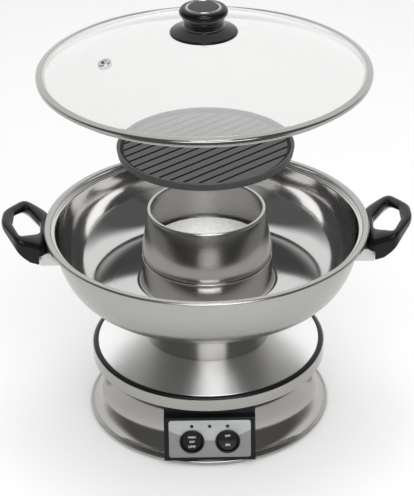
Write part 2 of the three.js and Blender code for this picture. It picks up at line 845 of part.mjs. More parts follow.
// Pot: its frame starts at the foot of the fire tube, which stands on the disc's seat.
const pot = new THREE.Group();
const potFoot = discSeatHeight + touchGap;
pot.position.z = potFoot;
object.add(pot);

const collarRise = 33.5; // bowl's inner collar above its floor
const chimneyGap = 5; // between the collar and the chimney
const sleeveHeight = 4.2;
const tubeReach = 3.1; // fire tube into the chimney's sleeve
const lipWidth = 7;
const wallStep = 3; // wall inside the riser
const wallSweep = 41; // how far the wall curves out from the floor's edge
const wallFall = 1.4; // end of the wall below the ledge
const filletRadius = 7;
const ledgeWidth = 3.4;
const ledgeFall = 5.3; // ledge below the rim
const bowlFloor = bowlHeight - bowlDepth;
const collarTop = bowlFloor + collarRise;
const chimneyFoot = collarTop + chimneyGap;
const tubeTop = chimneyFoot + tubeReach;
const riserRadius = bowlRadius - lipWidth;
const wallRadius = riserRadius - wallStep;
const floorRadius = wallRadius - wallSweep;
const ledgeHeight = bowlHeight - ledgeFall;
const wallTop = ledgeHeight - wallFall;
const lipDrop = 4.4;
const lipRound = 1.4;
const bowlSteps = 5;
const filletSteps = 3;
const chimneyTop = bowlHeight + chimneyRise;
const chimneyBead = 1.8;
const rimRoll = 2.9; // how far the rim rolls inwards

// Fire tube: the polished cylinder that carries the bowl and surrounds the heater drum.
const tubeProfile = [
  [fireTubeRadius, 0],
  [fireTubeRadius, tubeTop],
  [fireTubeRadius - sheet, tubeTop],
  [fireTubeRadius - sheet, 0],
];
piece('fire_tube', revolve(tubeProfile, largeSides), polishedSteel, pot);

// Bowl: drawn in one sheet from a collar round the fire tube to a stepped rim.
const collarRadius = fireTubeRadius + touchGap;

function bowlSkin(inset) {
  const bend = filletRadius + (inset ? 0 : sheet);
  const floor = bowlFloor + inset;
  const corner = collarRadius + sheet + filletRadius;
  const fillet = arc(corner, floor + bend, bend, bend, 2, 3, filletSteps);
  const wallReach = wallRadius - inset - floorRadius;
  const wall = arc(floorRadius, wallTop, wallReach, wallTop - floor, -1, 0, bowlSteps);
  return [[corner - bend, collarTop], ...fillet, ...wall];
}

const bowlInside = bowlSkin(sheet);
const bowlOutside = bowlSkin(0);
const bowlProfile = [
  ...bowlOutside,
  [riserRadius + sheet, ledgeHeight - sheet],
  [riserRadius + sheet, bowlHeight - sheet],
  [bowlRadius - sheet, bowlHeight - sheet - lipRound / 2],
  [bowlRadius - sheet, bowlHeight - lipDrop],
  [bowlRadius, bowlHeight - lipDrop],
  [bowlRadius, bowlHeight - lipRound],
  [bowlRadius - lipRound, bowlHeight],
  [riserRadius + lipRound, bowlHeight],
  [riserRadius, bowlHeight - lipRound],
  [riserRadius, ledgeHeight],
  [riserRadius - ledgeWidth, ledgeHeight],
  ...bowlInside.reverse(),
];
const bowl = revolve(bowlProfile, largeSides);
piece('bowl', bowl, polishedSteel, pot);

// Chimney: a tapered tube sleeved over the fire tube, with a rolled rim.
const sleeveRadius = collarRadius + sheet;
const chimneyProfile = [
  [sleeveRadius - sheet, chimneyFoot],
  [sleeveRadius, chimneyFoot],
  [sleeveRadius, chimneyFoot + sleeveHeight],
  [chimneyRimRadius, chimneyTop - 2 * chimneyBead],
  [chimneyRimRadius + chimneyBead / 3, chimneyTop - chimneyBead],
  [chimneyRimRadius, chimneyTop - chimneyBead / 4],
  [chimneyRimRadius - chimneyBead / 2, chimneyTop],
  [chimneyRimRadius - chimneyBead, chimneyTop],
  [chimneyRimRadius - rimRoll, chimneyTop - chimneyBead / 3],
  [chimneyRimRadius - rimRoll, chimneyTop - chimneyBead],
  [chimneyRimRadius - sheet, chimneyTop - 2 * chimneyBead],
  [sleeveRadius - sheet, chimneyFoot + sleeveHeight],
];
piece('chimney', revolve(chimneyProfile, largeSides), satinSteel, pot);

// Handles: black phenolic loops, screwed to steel saddles that are welded to the bowl.
const saddleHalfWidth = 33;
const saddleReach = 3.2; // beyond the bowl's rim
const saddleDepth = 28.2;
const saddleFall = 17.4; // below the bowl's rim
const saddleTall = 13.6;
const saddleWall = 1.5;
const saddleOuter = bowlRadius + saddleReach;
const saddleInner = saddleOuter - saddleDepth;
const saddleTop = bowlHeight - saddleFall;
const saddleBottom = saddleTop - saddleTall;
const handleTuck = 4.4; // root under the bowl's rim
const handleRoot = bowlRadius - handleTuck;
const handleHalfRoot = 37;
const handleHalfWidth = 41;
const handleTip = bowlRadius + handleReach;
const handleCorner = 17;
const handleFall = 11.4; // top face at the root below the bowl's rim
const handleRootTop = bowlHeight - handleFall;
const handleSlopeShare = 0.42;
const handleRootDepth = 21.5; // drop of the outer root below its top
const handleMidDepth = 14;
const handleTipDepth = 6;
const handleSaddleGap = touchGap;
const holeStart = 6; // beyond the bowl's rim
const holeEnd = 11; // inside the handle's tip
const holeInner = bowlRadius + holeStart;
const holeOuter = handleTip - holeEnd;
const holeHalf = 25;
const holeCorner = 8;
const cornerSteps = 4;
const handleScrewSpacing = 56;
const handleScrewShank = 1.9;
const handleScrewHead = 3.2;
const handleScrewLength = 6;
const handleScrewRise = 8.6; // above the saddle's foot
const screwHeight = saddleBottom + handleScrewRise;

// Handle's outline from above: wide shoulders near the root and round outer corners.
function handleOutline() {
  const corner = arc(
    handleTip - handleCorner,
    handleHalfWidth - handleCorner,
    handleCorner,
    handleCorner,
    0,
    1,
    cornerSteps,
  );
  const mirrored = corner.map(([x, y]) => [x, -y]).reverse();
  return [[handleRoot, -handleHalfRoot], ...mirrored, ...corner, [handleRoot, handleHalfRoot]];
}

// Height of the handle's sloping top face at a distance from the axis.
function handleTopAt(x) {
  return handleRootTop + handleSlopeShare * (x - handleRoot);
}

function handleSideOutline() {
  const underRoot = saddleOuter + handleSaddleGap;
  return [
    [handleRoot, saddleTop + handleSaddleGap],
    [underRoot, saddleTop + handleSaddleGap],
    [underRoot, handleTopAt(underRoot) - handleRootDepth - 2 * handleSaddleGap],
    [underRoot + handleSaddleGap, handleTopAt(underRoot) - handleRootDepth],
    [(underRoot + handleTip) / 2, handleTopAt((underRoot + handleTip) / 2) - handleMidDepth],
    [handleTip, handleTopAt(handleTip) - handleTipDepth],
    [handleTip + overrun, handleTopAt(handleTip) - handleTipDepth],
    [handleTip + overrun, handleTopAt(handleTip + overrun)],
    [handleRoot, handleTopAt(handleRoot)],
  ];
}

// The side outline's x stays, its y becomes z and its depth runs along y.
const sideToBase = new THREE.Matrix4().makeBasis(
  new THREE.Vector3(1, 0, 0),
  new THREE.Vector3(0, 0, 1),
  new THREE.Vector3(0, -1, 0),
);
const handleTall = handleTopAt(handleTip + overrun) + overrun;
const handlePlan = solid(prism(handleOutline(), handleTall));
const handleSide = solid(
  prism(handleSideOutline(), 2 * handleHalfWidth + 2 * overrun)
    .translate(0, 0, -handleHalfWidth - overrun)
    .applyMatrix4(sideToBase),
);
const fingerHole = solid(
  prism(roundedRectangle(holeOuter - holeInner, 2 * holeHalf, holeCorner, 3), handleTall)
    .translate((holeInner + holeOuter) / 2, 0, 0),
);
const screwRows = [-handleScrewSpacing / 2, handleScrewSpacing / 2];

// A bar along x between two distances, at a height.
function crossBar(radius, from, to, y, z) {
  const round = new THREE.CylinderGeometry(radius, radius, to - from, tinySides).rotateZ(quarter);
  return solid(round.translate((from + to) / 2, y, z));
}

const screwHoles = screwRows
  .map((y) => {
    const radius = handleScrewShank + touchGap;
    return crossBar(radius, saddleOuter - overrun, saddleOuter + handleScrewLength, y, screwHeight);
  })
  .reduce((all, one) => all.add(one));
const handleBody = handlePlan.intersect(handleSide).subtract(fingerHole);
const handle = handleBody.subtract(screwHoles);

const wallAround = revolve(
  [
    [0, bowlFloor],
    ...bowlSkin(-touchGap).slice(filletSteps + 2),
    [wallRadius + touchGap, bowlHeight],
    [0, bowlHeight],
  ],
  largeSides,
);
const saddle = block(
  [saddleInner, -saddleHalfWidth, saddleBottom],
  [saddleOuter, saddleHalfWidth, saddleTop],
)
  .subtract(
    block(
      [saddleInner - overrun, -saddleHalfWidth + saddleWall, saddleBottom - overrun],
      [saddleOuter - saddleWall, saddleHalfWidth - saddleWall, saddleTop - saddleWall],
    ),
  )
  .subtract(wallAround)
  .subtract(screwHoles);

const handleScrewProfile = [
  [0, 0],
  [handleScrewHead, 0],
  [handleScrewHead, handleScrewHead / 2],
  [handleScrewShank, handleScrewHead / 2],
  [handleScrewShank, handleScrewHead / 2 + handleScrewLength],
  [0, handleScrewHead / 2 + handleScrewLength],
];
const headFace = saddleOuter - saddleWall - touchGap - handleScrewHead / 2;
[['left', Math.PI], ['right', 0]].forEach(([side, turn]) => {
  const arm = new THREE.Group();
  arm.rotation.z = turn;
  pot.add(arm);
  piece(`handle_${side}`, handle, blackPhenolic, arm);
  piece(`handle_saddle_${side}`, saddle, satinSteel, arm);
  screwRows.forEach((y, i) => {
    const name = `handle_screw_${side}_${i + 1}`;
    const screw = piece(name, revolve(handleScrewProfile, tinySides), plainSteel, arm);
    screw.rotation.y = quarter;
    screw.position.set(headFace, y, screwHeight);
  });
});

// Grill plate: its frame starts at the seat that rests on the chimney's rim.
const grill = new THREE.Group();
grill.position.z = potFoot + chimneyTop + touchGap + plateLift;
object.add(grill);

const plateTotal = 8.5;
const wallDraw = 1.2; // how far its wall draws in towards the seat
const rimWidth = 3;
const channelWidth = 4;
const channelTop = 3.4;
const fieldTop = 5.2;
const ringOuter = chimneyRimRadius - rimRoll - fitGap;
const ringWidth = 3;
const ringDrop = 6;
const grooveCount = 13;
const groovePitch = 11.55;
const grooveWidth = 2.2;
const grooveDepth = 1.6;
const grooveTurn = THREE.MathUtils.degToRad(41);
const grooveShift = 2; // middle groove off the plate's middle
const edgeRound = 0.8;
const fieldRadius = plateRadius - rimWidth - channelWidth;
const grillProfile = [
  [0, 0],
  [ringOuter - ringWidth, 0],
  [ringOuter - ringWidth, -ringDrop],
  [ringOuter, -ringDrop],
  [ringOuter, 0],
  [plateRadius - wallDraw - edgeRound, 0],
  [plateRadius - wallDraw, edgeRound],
  [plateRadius, plateTotal - edgeRound],
  [plateRadius - edgeRound, plateTotal],
  [plateRadius - rimWidth + edgeRound, plateTotal],
  [plateRadius - rimWidth, plateTotal - edgeRound],
  [plateRadius - rimWidth, channelTop],
  [fieldRadius, channelTop],
  [fieldRadius, fieldTop],
  [0, fieldTop],
];
let grillPlate = revolve(grillProfile, largeSides);
for (let i = 0; i < grooveCount; i += 1) {
  const offset = grooveShift + (i - (grooveCount - 1) / 2) * groovePitch;
  const half = Math.sqrt(fieldRadius ** 2 - offset ** 2) + channelWidth / 2;
  const groove = new THREE.BoxGeometry(2 * half, grooveWidth, 2 * grooveDepth)
    .translate(0, offset, fieldTop)
    .rotateZ(grooveTurn);
  grillPlate = grillPlate.subtract(solid(groove));
}
piece('grill_plate', grillPlate, castCoating, grill);

// Lid: its frame starts at the underside of its rim.
const lid = new THREE.Group();
lid.position.z = potFoot + bowlHeight + touchGap + lidLift;
object.add(lid);

const bandWidth = 6.7;
const bandTall = 7;
const bandSlope = 1.4; // how much its outer edge is lower than its inner one
const skirtDraw = 2.1; // how far the skirt draws in
const skirtDrop = 4;
const glassBite = 4.5; // glass under the band
const glassThickness = 4;
const domeInset = 0.4; // dome's edge inside the skirt
const domeSteps = 4;
const washerRadius = 20;
const knobFlangeRadius = 33;
const knobHole = 4.2;
const ventRing = 101;
const ventTurn = THREE.MathUtils.degToRad(201.7);
const ventRadius = 4.8;
const ventBore = 3.3;
const ventFlange = 6.8;
const ventFlangeThick = 1;
const glassFoot = sheet + touchGap;
const glassTop = glassFoot + glassThickness;
const bandInner = lidRadius - bandWidth;
const skirtOuter = riserRadius - fitGap;
const skirtInner = skirtOuter - skirtDraw;
const glassEdge = bandInner + glassBite;
const domeRadius = skirtInner - domeInset;

// Steel band round the glass: a channel with a skirt that drops inside the bowl's rim.
const bandProfile = [
  [skirtInner, -skirtDrop],
  [skirtInner + sheet, -skirtDrop],
  [skirtOuter, 0],
  [lidRadius - sheet, 0],
  [lidRadius, sheet],
  [lidRadius, bandTall - bandSlope - sheet],
  [lidRadius - sheet, bandTall - bandSlope],
  [bandInner + sheet, bandTall],
  [bandInner, bandTall - sheet / 2],
  [bandInner, glassTop + touchGap],
  [glassEdge + touchGap, glassTop + touchGap],
  [glassEdge + touchGap, glassFoot - touchGap],
  [skirtInner, glassFoot - touchGap],
];
piece('lid_band', revolve(bandProfile, largeSides), satinSteel, lid);

// Glass dome: a flat edge in the band and a shallow spherical cap.
const domeRise = lidRise - glassTop;
const domeSphere = (domeRadius ** 2 + domeRise ** 2) / (2 * domeRise);

// Fall of the glass below its middle at a distance from the axis.
function domeDrop(radius) {
  return domeSphere - Math.sqrt(domeSphere ** 2 - radius ** 2);
}

// The cap has rings under the edges of the washer and of the knob's flange, so that both lie flat on it.
function domeSkin(inset) {
  const outer = Array.from(
    { length: domeSteps },
    (_, i) => knobFlangeRadius + ((domeRadius - knobFlangeRadius) * (i + 1)) / domeSteps,
  );
  return [0, washerRadius, knobFlangeRadius, ...outer].map((radius) => [
    radius,
    lidRise - inset - domeDrop(radius),
  ]);
}

const glassProfile = [
  ...domeSkin(glassThickness),
  [glassEdge, glassFoot],
  [glassEdge, glassTop],
  ...domeSkin(0).reverse(),
];
// The vent's own frame stands square to the glass.
const ventTilt = Math.asin(ventRing / domeSphere);
const ventFrame = new THREE.Group();
ventFrame.rotation.set(0, ventTilt, ventTurn, 'ZYX');
ventFrame.position.set(
  ventRing * Math.cos(ventTurn),
  ventRing * Math.sin(ventTurn),
  lidRise - domeDrop(ventRing) - glassThickness / 2,
);
ventFrame.updateMatrix();
lid.add(ventFrame);
const ventHole = bar(ventRadius + fitGap, -overrun, overrun, smallSides)
  .transform(ventFrame.matrix.toArray());
const glass = revolve(glassProfile, largeSides)
  .subtract(bar(knobHole, 0, lidRise + overrun, smallSides))
  .subtract(ventHole);
piece('lid_glass', glass, clearGlass, lid);

const ventHalf = glassThickness / 2 + fitGap;
const ventProfile = [
  [ventBore, -ventHalf - ventFlangeThick],
  [ventFlange, -ventHalf - ventFlangeThick],
  [ventFlange, -ventHalf],
  [ventRadius, -ventHalf],
  [ventRadius, ventHalf],
  [ventFlange, ventHalf],
  [ventFlange - ventFlangeThick / 2, ventHalf + ventFlangeThick],
  [ventBore, ventHalf + ventFlangeThick],
];
piece('steam_vent', revolve(ventProfile, smallSides), brightChrome, ventFrame);

// Knob: a flange on the glass, a grip on the flange, a bright ring and a cap, and a screw from below.
const flangeFoot = lidRise + touchGap;
const knobFlangeThick = 2.2;
const knobFlangeRise = 5.5;
const stemRadius = 19.8;
const stemHeight = 12;
const bulbRadius = 23.6;
const knobHeight = 24.5;
const knobNeck = 2;
const bulbRound = 4.6;
const bulbStartShare = -0.7;
const bulbSteps = 5;
const recessRadius = 17.4;
const knobRecess = 1.6;
const ringTube = 1.1;
const ringSteps = 6;
const capRadius = 14.6;
const screwBore = 2.7;
const flangeDrop = domeDrop(knobFlangeRadius);
const flangeProfile = [
  [screwBore, 0],
  [washerRadius, -domeDrop(washerRadius)],
  [knobFlangeRadius, -flangeDrop],
  [knobFlangeRadius, knobFlangeThick / 2 - flangeDrop],
  [knobFlangeRadius - knobNeck / 2, knobFlangeThick - flangeDrop],
  [stemRadius + 2 * knobNeck, knobFlangeRise - knobFlangeThick],
  [stemRadius + knobNeck / 2, knobFlangeRise - knobFlangeThick / 2],
  [stemRadius, knobFlangeRise],
  [screwBore, knobFlangeRise],
];
const knobFlange = piece('knob_flange', revolve(flangeProfile, middleSides), blackPhenolic, lid);
knobFlange.position.z = flangeFoot;

const gripFoot = knobFlangeRise + touchGap;
const gripProfile = [
  [screwBore, gripFoot],
  [stemRadius, gripFoot],
  [stemRadius, stemHeight],
  [stemRadius + knobNeck / 2, stemHeight + knobNeck],
  ...arc(bulbRadius - bulbRound, knobHeight - bulbRound, bulbRound, bulbRound, bulbStartShare, 1, bulbSteps),
  [recessRadius + ringTube / 2, knobHeight],
  [recessRadius, knobHeight - ringTube / 2],
  [recessRadius, knobHeight - knobRecess],
  [screwBore, knobHeight - knobRecess],
];
const knobGrip = piece('knob_grip', revolve(gripProfile, middleSides), blackPhenolic, lid);
knobGrip.position.z = flangeFoot;

const ringCentre = capRadius + touchGap + ringTube;
const ringProfile = arc(ringCentre, 0, ringTube, ringTube, 0, 4, ringSteps).slice(0, ringSteps);
const knobRing = piece('knob_ring', revolve(ringProfile, middleSides), brightChrome, lid);
knobRing.position.z = flangeFoot + knobHeight - knobRecess + touchGap + ringTube;

const capProfile = [
  [0, 0],
  [capRadius, 0],
  [capRadius, knobRecess / 2],
  [capRadius - knobRecess / 2, knobRecess],
  [0, knobRecess + touchGap],
];
const knobCap = piece('knob_cap', revolve(capProfile, middleSides), blackPlastic, lid);
knobCap.position.z = flangeFoot + knobHeight - knobRecess + touchGap;

const washerThickness = 1.2;
const washerTop = lidRise - glassThickness - domeDrop(washerRadius) - touchGap;
const washerProfile = [
  [screwBore, -washerThickness],
  [washerRadius, -washerThickness],
  [washerRadius, 0],
  [screwBore, 0],
];
const washer = piece('knob_washer', revolve(washerProfile, middleSides), plainSteel, lid);
washer.position.z = washerTop;

const knobScrewHead = 5.5;
const knobScrewHeadHeight = 3;
const knobScrewShank = 2.4;
const knobScrewTop = flangeFoot + knobHeight - knobRecess - fitGap;
const knobScrewSeat = washerTop - washerThickness - touchGap;
const knobScrewProfile = [
  [0, knobScrewSeat - knobScrewHeadHeight],
  [knobScrewHead - touchGap, knobScrewSeat - knobScrewHeadHeight],
  [knobScrewHead, knobScrewSeat - knobScrewHeadHeight / 2],
  [knobScrewHead, knobScrewSeat],
  [knobScrewShank, knobScrewSeat],
  [knobScrewShank, knobScrewTop],
  [0, knobScrewTop],
];
piece('knob_screw', revolve(knobScrewProfile, tinySides), plainSteel, lid);

export default object;
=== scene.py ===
import math

import bmesh
import bpy
import numpy as np
from mathutils import Matrix, Vector


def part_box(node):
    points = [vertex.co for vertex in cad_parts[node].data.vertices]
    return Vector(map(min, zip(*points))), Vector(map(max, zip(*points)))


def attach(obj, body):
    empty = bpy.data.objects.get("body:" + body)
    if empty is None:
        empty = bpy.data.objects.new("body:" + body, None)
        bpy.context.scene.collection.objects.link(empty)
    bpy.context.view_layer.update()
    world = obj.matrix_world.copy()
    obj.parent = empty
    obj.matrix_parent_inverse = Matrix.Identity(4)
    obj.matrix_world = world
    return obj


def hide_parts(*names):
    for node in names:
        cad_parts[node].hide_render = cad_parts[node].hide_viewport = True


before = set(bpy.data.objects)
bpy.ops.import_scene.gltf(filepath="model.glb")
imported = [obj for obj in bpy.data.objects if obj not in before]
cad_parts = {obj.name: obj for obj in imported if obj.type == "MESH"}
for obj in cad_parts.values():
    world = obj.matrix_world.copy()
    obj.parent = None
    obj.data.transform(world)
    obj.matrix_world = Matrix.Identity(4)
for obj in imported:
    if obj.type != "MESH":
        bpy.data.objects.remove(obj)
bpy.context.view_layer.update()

# Camera: a long lens a little above the pot, looking 29 degrees down and leaning by less than one.
lens = bpy.data.cameras.new("photo_camera")
lens.lens = 157.0
lens.sensor_width = 36.0
lens.sensor_fit = "HORIZONTAL"
camera = bpy.data.objects.new("photo_camera", lens)
camera.matrix_world = (
    Matrix.Translation((0.0, -1.613, 1.086))
    @ Matrix.Rotation(math.radians(60.8), 4, "X")
    @ Matrix.Rotation(math.radians(-0.85), 4, "Z")
)
bpy.context.scene.collection.objects.link(camera)
bpy.context.scene.camera = camera
bpy.context.scene.view_settings.view_transform = "Standard"


# Bottom cover, drum stand, ledge ring and element clips: pressed from mild steel sheet and zinc
# plated. The screws are plated too.
mm = 0.001


def linear(code):
    """The linear RGBA of an sRGB hex colour: its dark end is divided, the rest raised to 2.4."""
    share = np.array([int(code[i:i + 2], 16) for i in (1, 3, 5)]) / 255
    share = np.where(share <= 0.04045, share / 12.92, ((share + 0.055) / 1.055) ** 2.4)
    return (*share.tolist(), 1.0)


def add(finish, kind, inputs=(), **settings):
    """Adds a node to a material or world, with its settings and a value or link for each input."""
    made = finish.node_tree.nodes.new(kind)
    for key, value in settings.items():
        setattr(made, key, value)
    for key, value in dict(inputs).items():
        if isinstance(value, bpy.types.NodeSocket):
            finish.node_tree.links.new(value, made.inputs[key])
        else:
            made.inputs[key].default_value = value
    return made


def blank(name):
    """A node material of that name with nothing in it yet."""
    made = bpy.data.materials.new(name)
    made.use_nodes = True
    made.node_tree.nodes.clear()
    return made


def dress(finish, *nodes):
    """Gives CAD pieces that are shown as they are a finish."""
    for node in nodes:
        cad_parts[node].material_slots[0].material = finish


# Zinc-plated steel: a thin bright plating over rolled sheet, so it is a cool grey metal whose
# spangle, 4 mm across, clouds the shine.
zinc = blank("zinc_plated_steel")
where = add(zinc, "ShaderNodeTexCoord").outputs["Object"]
spangle = add(zinc, "ShaderNodeTexVoronoi", {"Vector": where, "Scale": 1 / (4 * mm)})
cloud = add(zinc, "ShaderNodeTexNoise", {"Vector": where, "Scale": 1 / (12 * mm), "Detail": 3.0})
tone = add(zinc, "ShaderNodeMix", {0: spangle.outputs["Distance"], 6: linear("#a2a4a6"),
                                   7: linear("#b9babb")}, data_type="RGBA")
shine = add(zinc, "ShaderNodeMapRange", {0: cloud.outputs[0], 3: 0.34, 4: 0.52})
shader = add(zinc, "ShaderNodeBsdfPrincipled", {"Base Color": tone.outputs[2], "Metallic": 1.0,
                                                "Roughness": shine.outputs[0]})
add(zinc, "ShaderNodeOutputMaterial", {"Surface": shader.outputs[0]})
dress(zinc, "bottom_cover", "drum_stand", "disc_ledge_ring", "element_clip_left",
      "element_clip_right", "stand_screw_1", "stand_screw_2", "stand_screw_3",
      "handle_screw_left_1", "handle_screw_left_2", "handle_screw_right_1",
      "handle_screw_right_2", "knob_screw")


# Feet: four rubber buttons, each with a barb that is pushed through the bottom cover and opens
# again behind it.
def speckled(name, size, colours, rough, depth=0.0, detail=2.0, metallic=0.0, specular=0.5):
    """A material with one noise, `size` mm across. It takes the colour from the first of two sRGB
    hex colours to the second, the roughness likewise, and raises the surface by `depth` mm."""
    made = blank(name)
    at = add(made, "ShaderNodeTexCoord").outputs["Object"]
    grain = add(made, "ShaderNodeTexNoise", {"Vector": at, "Scale": 1 / (size * mm),
                                             "Detail": detail}).outputs[0]
    tone = add(made, "ShaderNodeMix", {0: grain, 6: linear(colours[0]), 7: linear(colours[1])},
               data_type="RGBA")
    shine = add(made, "ShaderNodeMapRange", {0: grain, 3: rough[0], 4: rough[1]})
    look = {"Base Color": tone.outputs[2], "Metallic": metallic, "Roughness": shine.outputs[0],
            "Specular IOR Level": specular}
    if depth:
        bump = add(made, "ShaderNodeBump", {"Height": grain, "Distance": depth * mm})
        look["Normal"] = bump.outputs[0]
    shader = add(made, "ShaderNodeBsdfPrincipled", look)
    add(made, "ShaderNodeOutputMaterial", {"Surface": shader.outputs[0]})
    return made


# Black EPDM rubber, moulded: almost no shine, a little dust in a 0.6 mm grain.
rubber = speckled("black_epdm_rubber", 0.6, ("#121212", "#242423"), (0.55, 0.75), 0.03)
dress(rubber, "foot_1", "foot_2", "foot_3", "foot_4")


# Base shell: a spool of 1.2 mm stainless steel, spun over a former: a straight band, a deep cove
# and a flange whose edge is hemmed to a bead. The window for the controls is punched out of its
# front.
def bow(middle, reach, start, stop, count=17):
    """Points on an ellipse: its middle plus its reaches times the cosine and sine of an angle that
    runs from start to stop, in degrees."""
    angle = np.radians(np.linspace(start, stop, count))
    return np.column_stack([middle[0] + reach[0] * np.cos(angle),
                            middle[1] + reach[1] * np.sin(angle)])


def eased(outline, radius):
    """A closed outline in mm with its corners of over 25 degrees rounded.
    A corner p is cut back by c, the radius or 0.3 of its shorter side, to p + c a and p + c b along
    its two sides; between them runs p + c ((1-t)^2 a + t^2 b). Points at 1.5 c keep the flats
    flat."""
    p = np.vstack(outline).astype(float)
    sides = [np.roll(p, 1, 0) - p, np.roll(p, -1, 0) - p]
    long = [np.linalg.norm(side, axis=1, keepdims=True) for side in sides]
    a, b = sides[0] / long[0], sides[1] / long[1]
    bend = np.degrees(np.arccos(np.clip(-(a * b).sum(1, keepdims=True), -1, 1)))
    c = np.minimum(radius, 0.3 * np.minimum(*long)) * (bend > 25) * (p[:, :1] > 1e-6)
    t = np.array([0, 0.25, 0.5, 0.75, 1])[None, :, None]
    curve = p[:, None] + c[:, None] * ((1 - t) ** 2 * a[:, None] + t ** 2 * b[:, None])
    ends = [(p + 1.5 * c * a)[:, None], (p + 1.5 * c * b)[:, None]]
    points = np.concatenate([ends[0], curve, ends[1]], 1).reshape(-1, 2)
    return points[np.linalg.norm(points - np.roll(points, -1, 0), axis=1) > 1e-4]


def lattice(index):
    """The four-cornered faces between neighbours in a grid of point numbers, closed both ways."""
    after = np.roll(index, -1, 0)
    corners = [index, np.roll(index, -1, 1), np.roll(after, -1, 1), after]
    return np.stack(corners, -1).reshape(-1, 4)


def turned(outline, lift=0.0, count=160, place=None):
    """A closed outline of [radius, height] in mm turned round the Z axis, as points and faces.
    Point (k, j) is (r_k cos a_j, r_k sin a_j, z_k + lift) with a_j = 2 pi j / count. A row on the
    axis is one point, and the outline runs anticlockwise, so that the faces look out of the
    wall."""
    r, z = np.vstack(outline).astype(float).T * mm
    z = z + lift * mm
    if np.sum(r * np.roll(z, -1) - np.roll(r, -1) * z) < 0:
        r, z = r[::-1], z[::-1]
    angle = 2 * math.pi * np.arange(count) / count
    points = np.stack([np.outer(r, np.cos(angle)), np.outer(r, np.sin(angle)),
                       np.outer(z, np.ones(count))], -1).reshape(-1, 3)
    index = np.arange(r.size * count).reshape(r.size, count)
    index[r < 1e-7] = index[r < 1e-7, :1]
    quads = lattice(index)
    used = np.unique(index)
    rank = np.zeros(len(points), int)
    rank[used] = np.arange(used.size)
    quads, points = rank[quads], points[used]
    low, high = quads[:, 0] == quads[:, 1], quads[:, 2] == quads[:, 3]
    faces = (quads[~low & ~high].tolist() + quads[low & ~high][:, [0, 2, 3]].tolist()
             + quads[high & ~low][:, :3].tolist())
    if place is not None:
        m = np.array(place)
        points = points @ m[:3, :3].T + m[:3, 3]
    return points, faces


def block(low, high):
    """The points and faces of a straight-sided block between two corners in mm."""
    share = np.array([[i & 1, i >> 1 & 1, i >> 2] for i in range(8)])
    points = (np.array(low) + share * (np.array(high) - np.array(low))) * mm
    return points, [[0, 2, 3, 1], [4, 5, 7, 6], [0, 1, 5, 4], [2, 6, 7, 3], [0, 4, 6, 2],
                    [1, 3, 7, 5]]


def built(name, *shells, crease=36.0):
    """One object at the origin, made of shells of points and faces. Edges over the crease, in
    degrees, stay sharp."""
    points, faces, first = [], [], 0
    for some, loops in shells:
        points.append(some)
        faces += [[first + i for i in loop] for loop in loops]
        first += len(some)
    mesh = bpy.data.meshes.new(name)
    mesh.from_pydata(np.vstack(points).tolist(), [], faces)
    mesh.shade_smooth()
    mesh.set_sharp_from_angle(angle=math.radians(crease))
    made = bpy.data.objects.new(name, mesh)
    bpy.context.scene.collection.objects.link(made)
    return made


def cut(made, *shells, crease=36.0):
    """Takes the solid of the shells out of a piece. The cut faces are split into triangles and what
    the cut leaves under 0.06 mm is closed, so that the mesh stays clean."""
    tool = built("cutter", *shells)
    taking = made.modifiers.new("cut", "BOOLEAN")
    taking.operation, taking.solver, taking.object = "DIFFERENCE", "EXACT", tool
    bpy.context.view_layer.update()
    seen = made.evaluated_get(bpy.context.evaluated_depsgraph_get())
    mesh = bpy.data.meshes.new_from_object(seen)
    work = bmesh.new()
    work.from_mesh(mesh)
    bmesh.ops.remove_doubles(work, verts=work.verts, dist=6e-5)
    wide = [face for face in work.faces if len(face.verts) > 4]
    bmesh.ops.triangulate(work, faces=wide, ngon_method="BEAUTY")
    bmesh.ops.dissolve_degenerate(work, dist=2e-6, edges=work.edges)
    work.to_mesh(mesh)
    work.free()
    made.modifiers.clear()
    made.data = mesh
    mesh.shade_smooth()
    mesh.set_sharp_from_angle(angle=math.radians(crease))
    bpy.data.objects.remove(tool)
    return made


def fit(made, finish, slot, body, *nodes):
    """Finishes a piece: its finish, the record's slot, which is not used, the body it rides on and
    the CAD nodes it stands for."""
    made.data.materials.clear()
    made.data.materials.append(finish)
    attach(made, body)
    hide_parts(*nodes)
    return made


def spun_steel(name, colour, low, high, ring, bump, **extra):
    """Stainless steel worked on a lathe. The tool leaves rings: noise of (radius, height) in bands
    of `ring` mm, uneven over 50 mm, takes the roughness from low to high and lifts the surface by
    `bump` mm."""
    made = blank(name)
    at = add(made, "ShaderNodeTexCoord").outputs["Object"]
    flat = add(made, "ShaderNodeVectorMath", {0: at, 1: (1, 1, 0)}, operation="MULTIPLY")
    reach = add(made, "ShaderNodeVectorMath", {0: flat.outputs[0]}, operation="LENGTH")
    height = add(made, "ShaderNodeSeparateXYZ", {0: at})
    rings = add(made, "ShaderNodeCombineXYZ", {0: reach.outputs["Value"], 2: height.outputs[2]})
    lines = add(made, "ShaderNodeTexNoise", {"Vector": rings.outputs[0], "Scale": 1 / (ring * mm),
                                             "Detail": 4.0})
    smear = add(made, "ShaderNodeTexNoise", {"Vector": at, "Scale": 1 / (50 * mm), "Detail": 2.0})
    both = add(made, "ShaderNodeMath", {0: lines.outputs[0], 1: smear.outputs[0]},
               operation="MULTIPLY")
    shine = add(made, "ShaderNodeMapRange", {0: both.outputs[0], 1: 0.12, 2: 0.4, 3: low, 4: high})
    ridge = add(made, "ShaderNodeBump", {"Height": lines.outputs[0], "Distance": bump * mm})
    look = add(made, "ShaderNodeBsdfPrincipled", {"Base Color": linear(colour), "Metallic": 1.0,
                                                  "Roughness": shine.outputs[0],
                                                  "Normal": ridge.outputs[0], **extra})
    add(made, "ShaderNodeOutputMaterial", {"Surface": look.outputs[0]})
    return made


